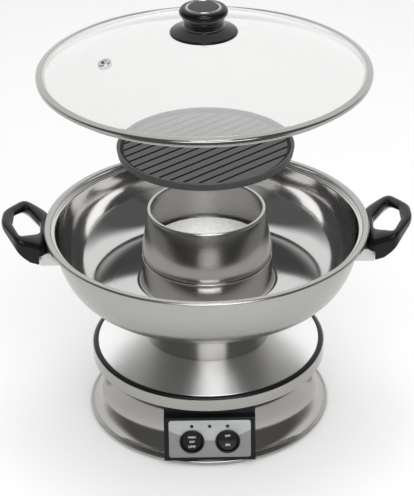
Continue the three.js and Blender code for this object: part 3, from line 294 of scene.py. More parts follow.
# Polished stainless steel: the base, the fire tube and the lid's band are buffed once they are
# shaped, so they mirror the room through a haze.
polished = spun_steel("polished_spun_stainless_steel", "#a8a6a3", 0.1, 0.16, 1.4, 0.001)

shell_outline = eased([
    [[120.2, 78.5], [121.4, 78.5], [121.4, 66.0], [118.9, 66.0]],
    bow((118.9, 40), (-14.9, 26), 86, 0, 21),
    bow((125, 40), (-21, -33), 4, 83, 25),
    [[122.7, 6.6], [123.3, 6.6]],
    bow((125.0, 5.4), (1.5, 2.1), 150, -60, 13),
    [[125.5, 3.0], [125.05, 3.0], [125.0, 5.7]],
    bow((125, 40), (-22.2, -34.2), 88, 0, 25),
    bow((118.9, 40), (-16.1, 27.2), 4, 90, 21),
    [[120.2, 67.2]],
], 0.35)
shell = built("spun_shell", turned(shell_outline, count=200))
window = block((-46.3, -132, 9.0), (46.3, -86.0, 66.0))
gland_height, gland_radius = 40, 7.3
gland_way = Matrix.Translation((0, 0, gland_height * mm)) @ Matrix.Rotation(-math.pi / 2, 4, "X")
cut(shell, window, turned([[0, 60], [gland_radius, 60], [gland_radius, 135], [0, 135]], count=48,
                          place=gland_way))
fit(shell, polished, "satin_steel", "base", "base_shell")


# Power inlet bush: moulded of rubber with a flange outside and a lip inside, and pressed into the
# hole in the shell's back, where the cord would go in.
bush_flange = 2.5
bush_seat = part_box("power_inlet_bush")[1].y / mm - bush_flange
bush_place = (Matrix.Translation((0, bush_seat * mm, gland_height * mm))
              @ Matrix.Rotation(-math.pi / 2, 4, "X"))
bush = built("inlet_bush", turned(eased([
    [3.6, bush_flange], [7.0, bush_flange], [9.5, 0.9], [9.5, 0], [7, 0], [7, -3], [6.6, -4],
    [7, -5], [7, -14], [3.6, -14]], 0.5), count=64, place=bush_place))
fit(bush, rubber, "black_rubber", "base", "power_inlet_bush")


# Control housing: one black moulding let into the shell's window. Its face leans back and a ledge
# runs under the shell's band.
def softened(name, node, edge, flat=1.0, crease=30.0):
    """A copy of a CAD piece: its loose triangles are joined, those in one plane become one face,
    and its edges over the crease are rounded by `edge` mm."""
    work = bmesh.new()
    work.from_mesh(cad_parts[node].data)
    bmesh.ops.remove_doubles(work, verts=work.verts, dist=2e-6)
    bmesh.ops.dissolve_limit(work, angle_limit=math.radians(flat), verts=work.verts,
                             edges=work.edges)
    mesh = bpy.data.meshes.new(name)
    work.to_mesh(mesh)
    work.free()
    mesh.shade_smooth()
    made = bpy.data.objects.new(name, mesh)
    bpy.context.scene.collection.objects.link(made)
    round_off = made.modifiers.new("edges", "BEVEL")
    round_off.width, round_off.segments = edge * mm, 3
    round_off.limit_method, round_off.angle_limit = "ANGLE", math.radians(crease)
    round_off.harden_normals = True
    return made


# Black ABS, injection moulded in a spark-eroded tool: a 0.5 mm grain that breaks up a low shine.
abs_black = speckled("black_grained_abs", 0.5, ("#0d0e11", "#17181b"), (0.26, 0.4), 0.02,
                     specular=0.22)
housing = softened("panel_housing", "control_housing", 0.7)
fit(housing, abs_black, "black_plastic", "base", "control_housing")


# Faceplate: a thin printed aluminium plate in the housing's recess, paler above a sagging line and
# darker below it, with holes for the switches and lamps.
lean = math.radians(13)
panel_y, panel_z = -125.5 * mm, 9.3 * mm
panel = Matrix(((1, 0, 0, 0), (0, math.sin(lean), -math.cos(lean), panel_y),
                (0, math.cos(lean), math.sin(lean), panel_z), (0, 0, 0, 1)))
tone_line, tone_bend = 21.2 * mm, 6.5

# Printed aluminium: two greys of satin ink over a grain rolled along the plate, 0.25 mm wide,
# drawn 0.5 mm. The line between the greys is 21.2 mm + x^2 / 154 mm up the plate.
printed = blank("printed_brushed_aluminium")
where = add(printed, "ShaderNodeTexCoord").outputs["Object"]
axes = add(printed, "ShaderNodeSeparateXYZ", {0: where})
square = add(printed, "ShaderNodeMath", {0: axes.outputs[0], 1: axes.outputs[0]},
             operation="MULTIPLY")
sag = add(printed, "ShaderNodeMath", {0: square.outputs[0], 1: tone_bend * math.cos(lean),
                                      2: panel_z + tone_line * math.cos(lean)},
          operation="MULTIPLY_ADD")
above = add(printed, "ShaderNodeMath", {0: axes.outputs[2], 1: sag.outputs[0]},
            operation="SUBTRACT")
edge = add(printed, "ShaderNodeMapRange", {0: above.outputs[0], 1: -0.1 * mm, 2: 0.1 * mm})
tones = add(printed, "ShaderNodeMix", {0: edge.outputs[0], 6: linear("#8f8f8e"),
                                       7: linear("#b6bab8")}, data_type="RGBA")
along = add(printed, "ShaderNodeMapping", {0: where, "Scale": (60, 2000, 2000)})
hair = add(printed, "ShaderNodeTexNoise", {"Vector": along.outputs[0], "Scale": 1.0, "Detail": 3.0})
tint = add(printed, "ShaderNodeMix", {0: hair.outputs[0], 6: linear("#d8d8d8"),
                                      7: linear("#ffffff")}, data_type="RGBA")
ink = add(printed, "ShaderNodeMix", {0: 1.0, 6: tones.outputs[2], 7: tint.outputs[2]},
          data_type="RGBA", blend_type="MULTIPLY")
shine = add(printed, "ShaderNodeMapRange", {0: hair.outputs[0], 3: 0.36, 4: 0.5})
shader = add(printed, "ShaderNodeBsdfPrincipled", {"Base Color": ink.outputs[2], "Metallic": 0.2,
                                                   "Roughness": shine.outputs[0]})
add(printed, "ShaderNodeOutputMaterial", {"Surface": shader.outputs[0]})
plate = softened("printed_faceplate", "faceplate", 0.25)
fit(plate, printed, "panel_grey", "base", "faceplate")


# Pilot lamps: three dark domed lenses, moulded of polycarbonate and pushed through the faceplate
# from behind.

# Smoked polycarbonate, unlit: glossy and nearly black, with a faint red-brown depth.
smoked = speckled("smoked_lamp_lens", 2, ("#120a09", "#1d100e"), (0.12, 0.12))
control_spread, lamp_rise = 18, 36.4
lamp_outline = eased([
    bow((0, -0.1), (1.6, 0.6), 90, 0, 9),
    [[1.6, -4.4], [2.7, -4.4], [2.7, -6.6], [1.6, -6.6], [1.6, -13.4], [0, -13.4]],
], 0.2)
for lamp_name, lamp_side in (("pot_lamp", -1), ("power_lamp", 0), ("grill_lamp", 1)):
    lamp_place = panel @ Matrix.Translation((lamp_side * control_spread * mm, lamp_rise * mm, 0))
    lamp = built(lamp_name + "_lens", turned(lamp_outline, count=32, place=lamp_place))
    fit(lamp, smoked, "lamp_lens", "base", lamp_name)


# Switches: two round snap-in barrels with a bezel, black like the housing, and a rocker on a pin in
# each. The left rocker is dished for three positions, the right one has two flats and lies pressed
# at its top.
switch_rise, pin_depth = 20.2, 2.6
rocker_reach, rocker_top, rocker_dip = 10.4, 3.0, 1.2
switch_outline = eased([[0, -15], [11.2, -15], [11.2, 0.2], [12.5, 0.2], [12.5, 1.2], [11.5, 1.7],
                        [10.9, 1.7], [10.4, 1.2], [10.4, -8.5], [0, -8.5]], 0.4)
rocker_outline = eased([[0, rocker_top], [9.7, rocker_top], [9.7, 0], [3.2, -2.2], [0, -2.2]], 0.5)
rocker_rings = np.column_stack([np.linspace(0.6, 8.2, 9), np.full(9, rocker_top)])
rocker_outline = np.vstack([rocker_outline[:1], rocker_rings, rocker_outline[1:]])
pin_way = Matrix.Rotation(math.pi / 2, 4, "Y")

# White print: a matt ink with a grain of 0.3 mm in its tone.
white_ink = speckled("white_pad_print", 0.3, ("#c9ccce", "#e4e6e7"), (0.5, 0.5))
ink_thickness, ink_lift = 0.08, 0.06


def crown(y, dished):
    """Height of a rocker's top over its pin: 3 mm less 1.2 (1 - s^2) if dished, else less
    1.2 (1 - |s|), where s is the distance y up the face over 10.4 mm."""
    s = np.abs(y) / rocker_reach
    return rocker_top - rocker_dip * (1 - (s * s if dished else s))


def printed_word(name, word, rise, dished, place):
    """A word 2.3 mm high laid on a rocker's top, its middle `rise` mm up the face: each point of
    the flat letters is lifted by the top's height under it."""
    letters = bpy.data.curves.new(name, "FONT")
    letters.body, letters.size, letters.align_x, letters.align_y = word, 3.0, "CENTER", "CENTER"
    letters.extrude, letters.offset, letters.space_character = ink_thickness / 2, 0.07, 1.05
    flat = bpy.data.objects.new(name + "_curve", letters)
    bpy.context.scene.collection.objects.link(flat)
    bpy.context.view_layer.update()
    work = bmesh.new()
    work.from_mesh(bpy.data.meshes.new_from_object(
        flat.evaluated_get(bpy.context.evaluated_depsgraph_get())))
    bmesh.ops.remove_doubles(work, verts=work.verts, dist=1e-4)
    mesh = bpy.data.meshes.new(name)
    work.to_mesh(mesh)
    work.free()
    bpy.data.objects.remove(flat)
    at = np.zeros(3 * len(mesh.vertices), np.float32)
    mesh.vertices.foreach_get("co", at)
    at = at.reshape(-1, 3).astype(float)
    at[:, 1] += rise
    at[:, 2] += crown(at[:, 1], dished) + ink_lift
    m = np.array(place)
    mesh.vertices.foreach_set("co", (at * mm @ m[:3, :3].T + m[:3, 3]).ravel().astype(np.float32))
    made = bpy.data.objects.new(name, mesh)
    bpy.context.scene.collection.objects.link(made)
    return made


for side, kind, dished, tilt, words in (
        (-1, "heat", True, 0, (("HIGH", 4.3), ("OFF", -0.7), ("LOW", -5.6))),
        (1, "grill", False, -8, (("OFF", 5.0), ("ON", -4.3)))):
    seat = panel @ Matrix.Translation((side * control_spread * mm, switch_rise * mm, 0))
    body = built(kind + "_switch_barrel", turned(switch_outline, count=96, place=seat))
    fit(body, abs_black, "black_plastic", "base", kind + "_switch_body")
    hinge = (seat @ Matrix.Translation((0, 0, -pin_depth * mm))
             @ Matrix.Rotation(math.radians(tilt), 4, "X"))
    points, faces = turned(rocker_outline, count=96)
    upper = points[:, 2] > 0
    points[upper, 2] *= crown(points[upper, 1] / mm, dished) / rocker_top
    points = points @ np.array(hinge)[:3, :3].T + np.array(hinge)[:3, 3]
    pin = turned([[0, -10.3], [0.8, -10.3], [0.8, 10.3], [0, 10.3]], count=16,
                 place=hinge @ pin_way)
    button = built(kind + "_rocker_button", (points, faces), pin)
    fit(button, abs_black, "black_plastic", kind + "_switch_rocker", kind + "_rocker")
    for word, rise in words:
        print_on = printed_word(f"{kind}_{word}_print", word, rise, dished, hinge)
        fit(print_on, white_ink, "black_plastic", kind + "_switch_rocker")


# Terminal block, thermostats and thermal cut-out: bought-in parts with pressed ceramic bodies,
# fixed inside the base.

# Steatite, pressed and fired: off-white and matt, with a 1 mm speckle.
steatite = speckled("fired_steatite", 1, ("#d6cfbf", "#efe9dc"), (0.6, 0.6), 0.03, detail=3.0)
dress(steatite, "terminal_block", "pot_thermostat", "grill_thermostat", "thermal_cutout")


# Top disc: a shallow cone of stainless steel, turned bright. The pot's fire tube stands on its flat
# seat, and a low ring centres the tube.

# Brushed stainless steel: the circular brush marks spread every highlight across them, so a light
# in front draws a bright wedge from the middle to the edge.
brushed = spun_steel("circular_brushed_stainless_steel", "#f2f2f2", 0.31, 0.35, 0.8, 0.001,
                     Anisotropic=1.0, **{"Anisotropic Rotation": 0.25})
tangent = add(brushed, "ShaderNodeTangent", direction_type="RADIAL", axis="Z")
look = [n for n in brushed.node_tree.nodes if n.type == "BSDF_PRINCIPLED"][0]
brushed.node_tree.links.new(tangent.outputs[0], look.inputs["Tangent"])
disc = built("brushed_disc", turned(eased([
    [57.5, 88.8], [60.9, 88.8], [60.9, 91.2], [63.3, 91.2], [63.3, 88.8], [69, 88.8],
    [115.0, 80.25], [115.3, 79.95], [115.3, 77.3], [114.1, 77.3], [112.5, 78.9], [69, 87.6],
    [57.5, 87.6]], 0.9), count=200))
fit(disc, brushed, "polished_steel", "base", "top_disc")


# Seal: a black ring, moulded of silicone and pressed between the disc's edge and the shell's lip,
# so that nothing runs into the base.

# Black silicone with a skin: smoother than the feet, so it carries a soft highlight.
silicone = speckled("black_silicone", 3, ("#08080a", "#121213"), (0.28, 0.42), detail=3.0,
                    specular=0.25)
seal = built("disc_edge_seal", turned(eased([
    [119.9, 73.5], [119.9, 78.6], [118.7, 79.9], [116.6, 80.4], [115.5, 80.0], [115.5, 77.0],
    [111.8, 77.0], [111.8, 73.5]], 0.6), count=200))
fit(seal, silicone, "black_rubber", "base", "disc_seal")


# Heater drum: a deep-drawn steel cylinder that stands up inside the fire tube. It carries the
# heating elements, the reflector between them and the plate on top.

# Satin stainless steel: brushed round on the lathe, so it shines softly along its rings. The brush
# lines are under 0.2 mm; they are drawn 0.9 mm wide so that they show.
satin = spun_steel("satin_spun_stainless_steel", "#abaaa7", 0.2, 0.3, 0.9, 0.002)
drum = built("drawn_drum", turned(eased([[54.6, 86.1], [66, 86.1], [66, 87.3], [55.8, 87.3],
                                         [55.8, 184], [54.6, 184]], 0.4), count=128))
fit(drum, satin, "satin_steel", "base", "heater_drum")

# Bright-annealed steel of the reflector, still smooth from the rolls.
bright = spun_steel("bright_annealed_steel", "#c4c2bd", 0.12, 0.22, 1.5, 0.002)
dress(bright, "reflector")

# Nickel-alloy sheath of the elements: drawn tube, oxidised brown-grey by its own heat in patches of
# about 8 mm.
sheath = speckled("oxidised_nickel_alloy", 8, ("#5c5751", "#8b8176"), (0.42, 0.6), detail=4.0,
                  metallic=0.9)
dress(sheath, "pot_heating_element", "grill_heating_element")


# Heat plate: a thick steel plate, enamelled nearly white. Its collar drops into the drum, and its
# rim nearly fills the fire tube.

# Vitreous enamel: a glassy coat with a slight orange peel, 3 mm from hump to hump.
enamel = speckled("white_vitreous_enamel", 3, ("#f0f1ef", "#fafbf9"), (0.2, 0.34), 0.04)
hot_plate = built("enamelled_plate", turned(eased([
    [0, 187.5], [61.4, 187.5], [62.4, 186.5], [61.4, 185.1], [57, 184.3], [54.1, 184.3],
    [54.1, 180.3], [52.9, 180.3], [52.9, 184.3], [0, 184.3]], 0.5), count=128))
fit(hot_plate, enamel, "pale_enamel", "base", "drum_heat_plate")


# Fire tube: a straight stainless tube that carries the bowl. It is welded into the bowl's collar,
# and its foot stands on the disc.
pot_foot = 89.1
tube = built("polished_fire_tube", turned(eased([[63.8, 0], [65, 0], [65, 98], [63.8, 98]], 0.35),
                                          pot_foot, count=160))
fit(tube, polished, "polished_steel", "pot", "fire_tube")


# Bowl: one deep-drawn sheet from a collar round the fire tube over a flat floor and a rounded wall
# to a stepped rim. Its inside is mirror polished, its outside brushed satin.
trough_radius, lip_radius = 100, 158.5


def faces_of(made):
    """Of each face of a piece: how far its middle is from the Z axis and how high, in mm, and the
    parts of its normal that look away from that axis and up."""
    got = [np.zeros(3 * len(made.data.polygons), np.float32) for _ in range(2)]
    made.data.polygons.foreach_get("center", got[0])
    made.data.polygons.foreach_get("normal", got[1])
    middle, normal = got[0].reshape(-1, 3) / mm, got[1].reshape(-1, 3)
    across = np.linalg.norm(middle[:, :2], axis=1)
    outwards = (middle[:, :2] * normal[:, :2]).sum(1) / across
    return across, middle[:, 2], outwards, normal[:, 2]


def refinish(made, finish, chosen):
    """Gives the chosen faces of a piece a second finish."""
    made.data.materials.append(finish)
    made.data.polygons.foreach_set("material_index", chosen.astype(np.int32))


# Mirror-polished stainless steel: buffed until only faint rings are left, so it shows the room.
mirror = spun_steel("mirror_polished_stainless_steel", "#c5c4c3", 0.07, 0.13, 1.4, 0.0015)
bowl_outside = [
    [[65.3, 89.9]],
    bow((73.5, 64.6), (8.2, 8.2), 180, 270, 13),
    bow((114, 120.6), (41, 64.2), -90, 0, 41),
    [[159.2, 120.8], [159.2, 126.1], [163.8, 125.6], [163.8, 122.9]],
]
bowl_lip = [[[165, 122.9], [165, 125.9], [163.6, 127.3], [159.4, 127.3], [158, 125.9]]]
bowl_inside = [
    [[158, 122], [154.6, 122]],
    bow((114, 120.6), (39.8, 63), 0, -90, 41),
    bow((73.5, 64.6), (7, 7), 270, 180, 13),
    [[66.5, 89.9]],
]
bowl_outline = eased(bowl_outside + bowl_lip + bowl_inside, 0.9)
bowl = built("drawn_bowl", turned(bowl_outline, pot_foot, count=192))
fit(bowl, satin, "polished_steel", "pot", "bowl")
# The inside is every face that looks up or, on the walls, towards the ring in the trough's middle.
across, height, outwards, upwards = faces_of(bowl)
inwards = -outwards * np.sign(across - trough_radius)
refinish(bowl, mirror, ((upwards > 0.02) | (inwards > 0.5)) & (across < lip_radius))


# Chimney: a tapered stainless tube sleeved over the fire tube. Its rim is rolled inwards to a bead,
# and the grill plate sits on it.
bead_height = 140.4
# Buffed stainless steel: finer than satin, but its brush lines still blur what it mirrors.
buffed = spun_steel("buffed_stainless_steel", "#b3b2b0", 0.16, 0.22, 0.9, 0.001)
chimney = built("tapered_chimney", turned(eased([
    [[65.3, 94.9], [66.5, 94.9], [66.5, 99.1], [59.3, 140.3]],
    bow((58.15, 142.1), (1.75, 1.8), -30, 190, 15),
    [[58.1, 140.3], [65.3, 99.1]],
], 0.5), pot_foot, count=160))
fit(chimney, buffed, "satin_steel", "pot", "chimney")
# Drawn stainless steel of the bore: left as the press made it and browned a little by the heater.
drawn = spun_steel("drawn_stainless_steel", "#989694", 0.24, 0.34, 1.2, 0.002)
across, height, outwards, upwards = faces_of(chimney)
refinish(chimney, drawn, (outwards < 0) & (height < pot_foot + bead_height))


# Handle saddles: steel sheet folded to a tray and welded to the bowl's wall; the handles are
# screwed to them. The sheet has a straight brushed grain of 0.2 mm, drawn 0.6 mm wide.
grained = blank("straight_grained_stainless_steel")
where = add(grained, "ShaderNodeTexCoord").outputs["Object"]
along = add(grained, "ShaderNodeMapping", {0: where, "Scale": (1600, 40, 1600)})
hair = add(grained, "ShaderNodeTexNoise", {"Vector": along.outputs[0], "Scale": 1.0, "Detail": 3.0})
shine = add(grained, "ShaderNodeMapRange", {0: hair.outputs[0], 3: 0.26, 4: 0.42})
bump = add(grained, "ShaderNodeBump", {"Height": hair.outputs[0], "Distance": 0.005 * mm})
tone = add(grained, "ShaderNodeMix", {0: hair.outputs[0], 6: linear("#c4c3bf"),
                                      7: linear("#d6d5d2")}, data_type="RGBA")
shader = add(grained, "ShaderNodeBsdfPrincipled", {"Base Color": tone.outputs[2], "Metallic": 1.0,
                                                   "Roughness": shine.outputs[0],
                                                   "Normal": bump.outputs[0]})
add(grained, "ShaderNodeOutputMaterial", {"Surface": shader.outputs[0]})
for side in ("left", "right"):
    saddle = softened("folded_saddle_" + side, "handle_saddle_" + side, 0.5)
    fit(saddle, grained, "satin_steel", "pot", "handle_saddle_" + side)


# Handles: two phenolic loops with an arched top, moulded round a three-cornered finger hole. They
# reach over the saddle and down its face.

# Black phenolic: a hard, dense moulding, smooth with a satin skin and a cloudy 1.5 mm grain.
phenolic = speckled("black_phenolic_moulding", 1.5, ("#0d0e0f", "#161618"), (0.14, 0.24), 0.02,
                    detail=4.0, specular=0.22)

handle_root, handle_tip, handle_middle = 160.6, 207.3, 184.0
handle_edge = [[handle_root, -37], [188, -46], [handle_tip, -12], [handle_tip, 12], [188, 46],
               [handle_root, 37]]
hole_edge = [[169, -12], [186.5, -33], [196, -12], [196, 12], [186.5, 33], [169, 12]]
edge_radius, hole_radius, squareness = 9, 5, 5


def loop(count=192, steps=40):
    """A handle's points and faces. At each angle about the loop's middle a section runs from the
    hole's edge (s = 0) to the outline (s = 1) and from the top (h = 0) to the underside (h = 1), on
    the curve |2s - 1|^n + |2h - 1|^n = 1 with n = 5. The top is 118 + 29 t - 11.5 t^2 mm over the
    pot's foot, with a crown of 1.5 mm, t being the way from root to tip. The underside is a
    tabulated height at the hole's edge and another at the outline, mixed by s."""
    turn = 2 * math.pi * np.arange(count) / count
    reach = []
    for edge, radius in ((hole_edge, hole_radius), (handle_edge, edge_radius)):
        line = eased([edge], radius)
        line = np.vstack([line, line[:1]]) - [handle_middle, 0]
        fine = np.linspace(0, len(line) - 1, 4000)
        x, y = (np.interp(fine, np.arange(len(line)), line[:, axis]) for axis in (0, 1))
        reach.append(np.interp(turn, np.arctan2(y, x), np.hypot(x, y), period=2 * math.pi))
    way = 2 * math.pi * np.arange(steps) / steps
    s, h = (0.5 - 0.5 * np.sign(part) * np.abs(part) ** (2 / squareness)
            for part in (np.cos(way), np.sin(way)))
    r = reach[0][:, None] * (1 - s) + reach[1][:, None] * s
    x, y = handle_middle + r * np.cos(turn)[:, None], r * np.sin(turn)[:, None]
    t = (x - handle_root) / (handle_tip - handle_root)
    top = 118 + 29 * t - 11.5 * t ** 2
    inner = top - np.interp(x, [165, 182, 195], [12, 8.5, 4.5])
    outer = np.interp(x, [168.5, 177, 192, 207.5], [97.7, 102, 118.5, 128.5])
    under = inner * (1 - s) + outer * s
    z = (top + 6.0 * s * (1 - s)) * (1 - h) + under * h
    points = np.stack([x, y, z + pot_foot], -1).reshape(-1, 3) * mm
    return points, lattice(np.arange(count * steps).reshape(count, steps))


points, quads = loop()
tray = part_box("handle_saddle_right")[1] / mm
play = 0.3
for side, sign, faces in (("left", -1, quads[:, ::-1]), ("right", 1, quads)):
    handle = built("moulded_handle_" + side, (points * [sign, 1, 1], faces.tolist()))
    near, far = sorted((sign * 150, sign * (tray.x + play)))
    cut(handle, block((near, -60, 150), (far, 60, tray.z + play)))
    fit(handle, phenolic, "black_phenolic", "pot", "handle_" + side)


# Grill plate: a round aluminium casting with a raised rim, a channel for the fat inside it and
# thirteen straight grooves across the field. A ring underneath drops into the chimney.

# Non-stick coating over shot-blasted aluminium: dark grey, matt, with paler 0.7 mm flecks.
coating = blank("non_stick_coated_aluminium")
where = add(coating, "ShaderNodeTexCoord").outputs["Object"]
fleck = add(coating, "ShaderNodeTexNoise", {"Vector": where, "Scale": 1 / (0.7 * mm),
                                            "Detail": 3.0})
share = add(coating, "ShaderNodeMapRange", {0: fleck.outputs[0], 1: 0.35, 2: 0.75})
tone = add(coating, "ShaderNodeMix", {0: share.outputs[0], 6: linear("#303132"),
                                      7: linear("#48494a")}, data_type="RGBA")
shine = add(coating, "ShaderNodeMapRange", {0: fleck.outputs[0], 3: 0.42, 4: 0.58})
bump = add(coating, "ShaderNodeBump", {"Height": fleck.outputs[0], "Distance": 0.05 * mm})
shader = add(coating, "ShaderNodeBsdfPrincipled", {"Base Color": tone.outputs[2], "Metallic": 0.15,
                                                   "Roughness": shine.outputs[0],
                                                   "Normal": bump.outputs[0]})
add(coating, "ShaderNodeOutputMaterial", {"Surface": shader.outputs[0]})
plate_foot = 294.8
field_radius, field_height = 81.3, 5.2
channel_radius, channel_height = 85.3, 3.4
grill = built("cast_grill_plate", turned(eased([
    [0, 0], [52.9, 0], [52.9, -6], [55.9, -6], [55.9, 0], [86.3, 0], [87.1, 0.8], [88.3, 7.7],
    [87.5, 8.5], [86.1, 8.5], [channel_radius, 7.7], [channel_radius, channel_height],
    [field_radius, channel_height], [field_radius, field_height], [0, field_height]], 0.7),
    plate_foot, count=160))
groove_pitch, groove_shift, groove_width, groove_floor = 11.55, 2, 2.8, 3.6
groove_turn = np.array(Matrix.Rotation(math.radians(41), 3, "Z"))
grooves = []
for number in range(-6, 7):
    offset = groove_shift + number * groove_pitch
    half = math.sqrt(field_radius ** 2 - offset ** 2) + 2
    points, faces = block((-half, offset - groove_width / 2, groove_floor),
                          (half, offset + groove_width / 2, groove_floor + 3.2))
    grooves.append((points @ groove_turn.T + [0, 0, plate_foot * mm], faces))
cut(grill, *grooves)
fit(grill, coating, "dark_coating", "plate", "grill_plate")
# Painted shade: the grooves and the channel are nearly black, as the plate casts no shadow.
painted_groove_shade = coating.copy()
painted_groove_shade.name = "non_stick_coating_painted_groove_shade"
for step in painted_groove_shade.node_tree.nodes:
    if step.type == "MIX":
        step.inputs[6].default_value = linear("#070707")
        step.inputs[7].default_value = linear("#111111")
    if step.type == "BSDF_PRINCIPLED":
        step.inputs["Specular IOR Level"].default_value = 0.1
across, height, outwards, upwards = faces_of(grill)
height = height - plate_foot
low = height < field_height - 0.1
wall = (across > channel_radius - 0.4) & (height < 7.2)
# These faces get the painted shade: the groove floors and walls, the channel and the rim's inner
# wall.
refinish(grill, painted_groove_shade, (low | wall) & (height > channel_height - 0.1)
         & (across < channel_radius + 0.3))


# Lid band: a stainless steel channel, rolled to a ring and pressed tight on the edge of the glass.
# Its skirt drops inside the bowl's rim.
lid_foot, skirt_height = 379.0, 1.3
band = built("rolled_lid_band", turned(eased([
    [155.4, -4], [156.6, -4], [157.5, 0], [162.4, 0], [163.6, 1.2], [163.6, 4.4], [162.4, 5.6],
    [158.1, 7], [156.9, 6.4], [156.9, 5.8], [161.7, 5.8], [161.7, 1.2], [155.4, 1.2]], 0.6),
    lid_foot, count=192))
fit(band, polished, "satin_steel", "lid", "lid_band")
across, height, outwards, upwards = faces_of(band)
refinish(band, drawn, (outwards < 0) & (height < lid_foot + skirt_height))


# Lid glass: a shallow dome, sagged from 4 mm soda-lime glass, drilled for the knob's screw and the
# vent, and tempered.
dome_radius, under_height, top_height = 331.26, 40, 44


def dome(radius):
    """How far the glass lies under its crown at a radius: the fall of a sphere of 331.26 mm."""
    return dome_radius - np.sqrt(dome_radius ** 2 - np.asarray(radius) ** 2)


# Tempered soda-lime glass: clear, with a faint milky grey that is a painted veil of studio light.
glass = blank("tempered_soda_lime_glass")
where = add(glass, "ShaderNodeTexCoord").outputs["Object"]
wave = add(glass, "ShaderNodeTexNoise", {"Vector": where, "Scale": 1 / (60 * mm)})
bump = add(glass, "ShaderNodeBump", {"Height": wave.outputs[0], "Distance": 0.04 * mm})
# A quarter of the glass is matt and pale: the painted veil of the studio's light.
shader = add(glass, "ShaderNodeBsdfPrincipled", {"Base Color": linear("#e2e2e1"),
                                                 "Roughness": 0.02, "IOR": 1.5,
                                                 "Transmission Weight": 0.74,
                                                 "Normal": bump.outputs[0]})
add(glass, "ShaderNodeOutputMaterial", {"Surface": shader.outputs[0]})
rings = np.linspace(4.2, 155, 48)
lid_glass = built("domed_glass", turned(eased([
    np.column_stack([rings, under_height - dome(rings)]), [[161.4, 1.5], [161.4, 5.5]],
    np.column_stack([rings, top_height - dome(rings)])[::-1]], 0.5), lid_foot, count=192))
vent_reach, vent_turn = 101, math.radians(201.7)
vent_height = lid_foot + (under_height + top_height) / 2 - float(dome(vent_reach))
vent_place = (
    Matrix.Translation((vent_reach * mm * math.cos(vent_turn),
                        vent_reach * mm * math.sin(vent_turn), vent_height * mm))
    @ Matrix.Rotation(vent_turn, 4, "Z")
    @ Matrix.Rotation(math.asin(vent_reach / dome_radius), 4, "Y"))
cut(lid_glass, turned([[0, -9], [5.3, -9], [5.3, 9], [0, 9]], count=48, place=vent_place))
fit(lid_glass, glass, "clear_glass", "lid", "lid_glass")


# Steam vent: a turned brass eyelet, chrome plated, put through the glass at the left and riveted
# over from below.

# Bright chrome: plating over polished brass, blue-white and sharp, with hairlines 2 mm apart.
chrome = speckled("bright_chrome_plate", 2, ("#b4b7ba", "#b4b7ba"), (0.05, 0.12), metallic=1.0)
vent = built("vent_eyelet", turned(eased([
    [3.3, -3.5], [6.8, -3.5], [6.8, -2.5], [4.8, -2.5], [4.8, 2.5], [6.8, 2.5], [6.3, 3.5],
    [3.3, 3.5]], 0.45), count=64, place=vent_place))
fit(vent, chrome, "bright_chrome", "lid", "steam_vent")


# Knob: a phenolic flange and grip with a chrome ring and a black cap let into the top, and a steel
# washer under the glass. One screw from below holds them all.
knob_foot, flange_radius = lid_foot + top_height + 0.3, 33
# Polished phenolic of the knob: the handles' moulding, buffed to a gloss.
gloss = speckled("polished_black_phenolic", 1.5, ("#0d0e0f", "#161618"), (0.12, 0.2), 0.02,
                 detail=4.0, specular=0.22)
rings = np.linspace(8, flange_radius, 8)
edge_fall = dome(flange_radius)
flange = built("knob_foot_flange", turned(eased([
    [[2.7, 0]], np.column_stack([rings, -dome(rings)]),
    [[flange_radius, 1.1 - edge_fall], [32, 2.2 - edge_fall], [23.8, 3.3], [20.8, 4.4], [19.8, 5.5],
     [2.7, 5.5]],
], 0.5), knob_foot, count=128))
fit(flange, gloss, "black_phenolic", "lid", "knob_flange")
grip = built("knob_hand_grip", turned(eased([
    [[2.7, 5.8], [19.8, 5.8], [19.8, 12], [20.8, 14]],
    bow((19.0, 19.9), (4.6, 4.6), -63, 90, 15),
    [[17.95, 24.5], [17.4, 23.95], [17.4, 22.9], [2.7, 22.9]],
], 0.6), knob_foot, count=128))
fit(grip, gloss, "black_phenolic", "lid", "knob_grip")
ring = built("knob_chrome_ring", turned([bow((16.2, 24.3), (0.8, 0.9), 0, 345, 24)], knob_foot,
                                        count=128))
fit(ring, chrome, "bright_chrome", "lid", "knob_ring")
cap = built("knob_inset_cap", turned(eased([[0, 23.2], [15.1, 23.2], [15.1, 24.0], [14.3, 24.8],
                                            [0, 25.1]], 0.4), knob_foot, count=128))
fit(cap, abs_black, "black_plastic", "lid", "knob_cap")
washer = built("pressed_washer", turned(eased([
    [2.7, 37.9], [20, 37.9], [20, 39.1], [2.7, 39.1]], 0.3), lid_foot, count=96))
fit(washer, satin, "plain_steel", "lid", "knob_washer")
# The plate and the lid are lifted only to be shown, so they neither shade the bowl nor show in it.
for lifted in (grill, band, lid_glass, vent, flange, grip, ring, cap, washer):
    lifted.visible_shadow = lifted.visible_diffuse = lifted.visible_glossy = False


# Studio: a round white table, and behind it a white cove that metal sees. A soft light hangs
# overhead and one in front, a little to the right; a strip in front and one on top only draw
# highlights.

# White paper: it is lit and shadowed as paper, and a little light of its own, for eyes, metal and
# glass, takes it to white.
eye_glow, metal_glow = 0.17, 0.15
paper = blank("white_studio_paper")
way = add(paper, "ShaderNodeLightPath")
seen = add(paper, "ShaderNodeMath", {0: way.outputs["Is Camera Ray"],
                                     1: way.outputs["Is Transmission Ray"]}, operation="MAXIMUM")
glow = add(paper, "ShaderNodeMath", {0: way.outputs["Is Glossy Ray"], 1: metal_glow},
           operation="MULTIPLY")
glow = add(paper, "ShaderNodeMath", {0: seen.outputs[0], 1: eye_glow, 2: glow.outputs[0]},
           operation="MULTIPLY_ADD")
shader = add(paper, "ShaderNodeBsdfPrincipled", {"Base Color": linear("#ebebeb"), "Roughness": 0.9,
                                                 "Specular IOR Level": 0.0,
                                                 "Emission Color": linear("#ffffff"),
                                                 "Emission Strength": glow.outputs[0]})
add(paper, "ShaderNodeOutputMaterial", {"Surface": shader.outputs[0]})
table_radius, table_middle, corners = 2.2, 1.5, 96
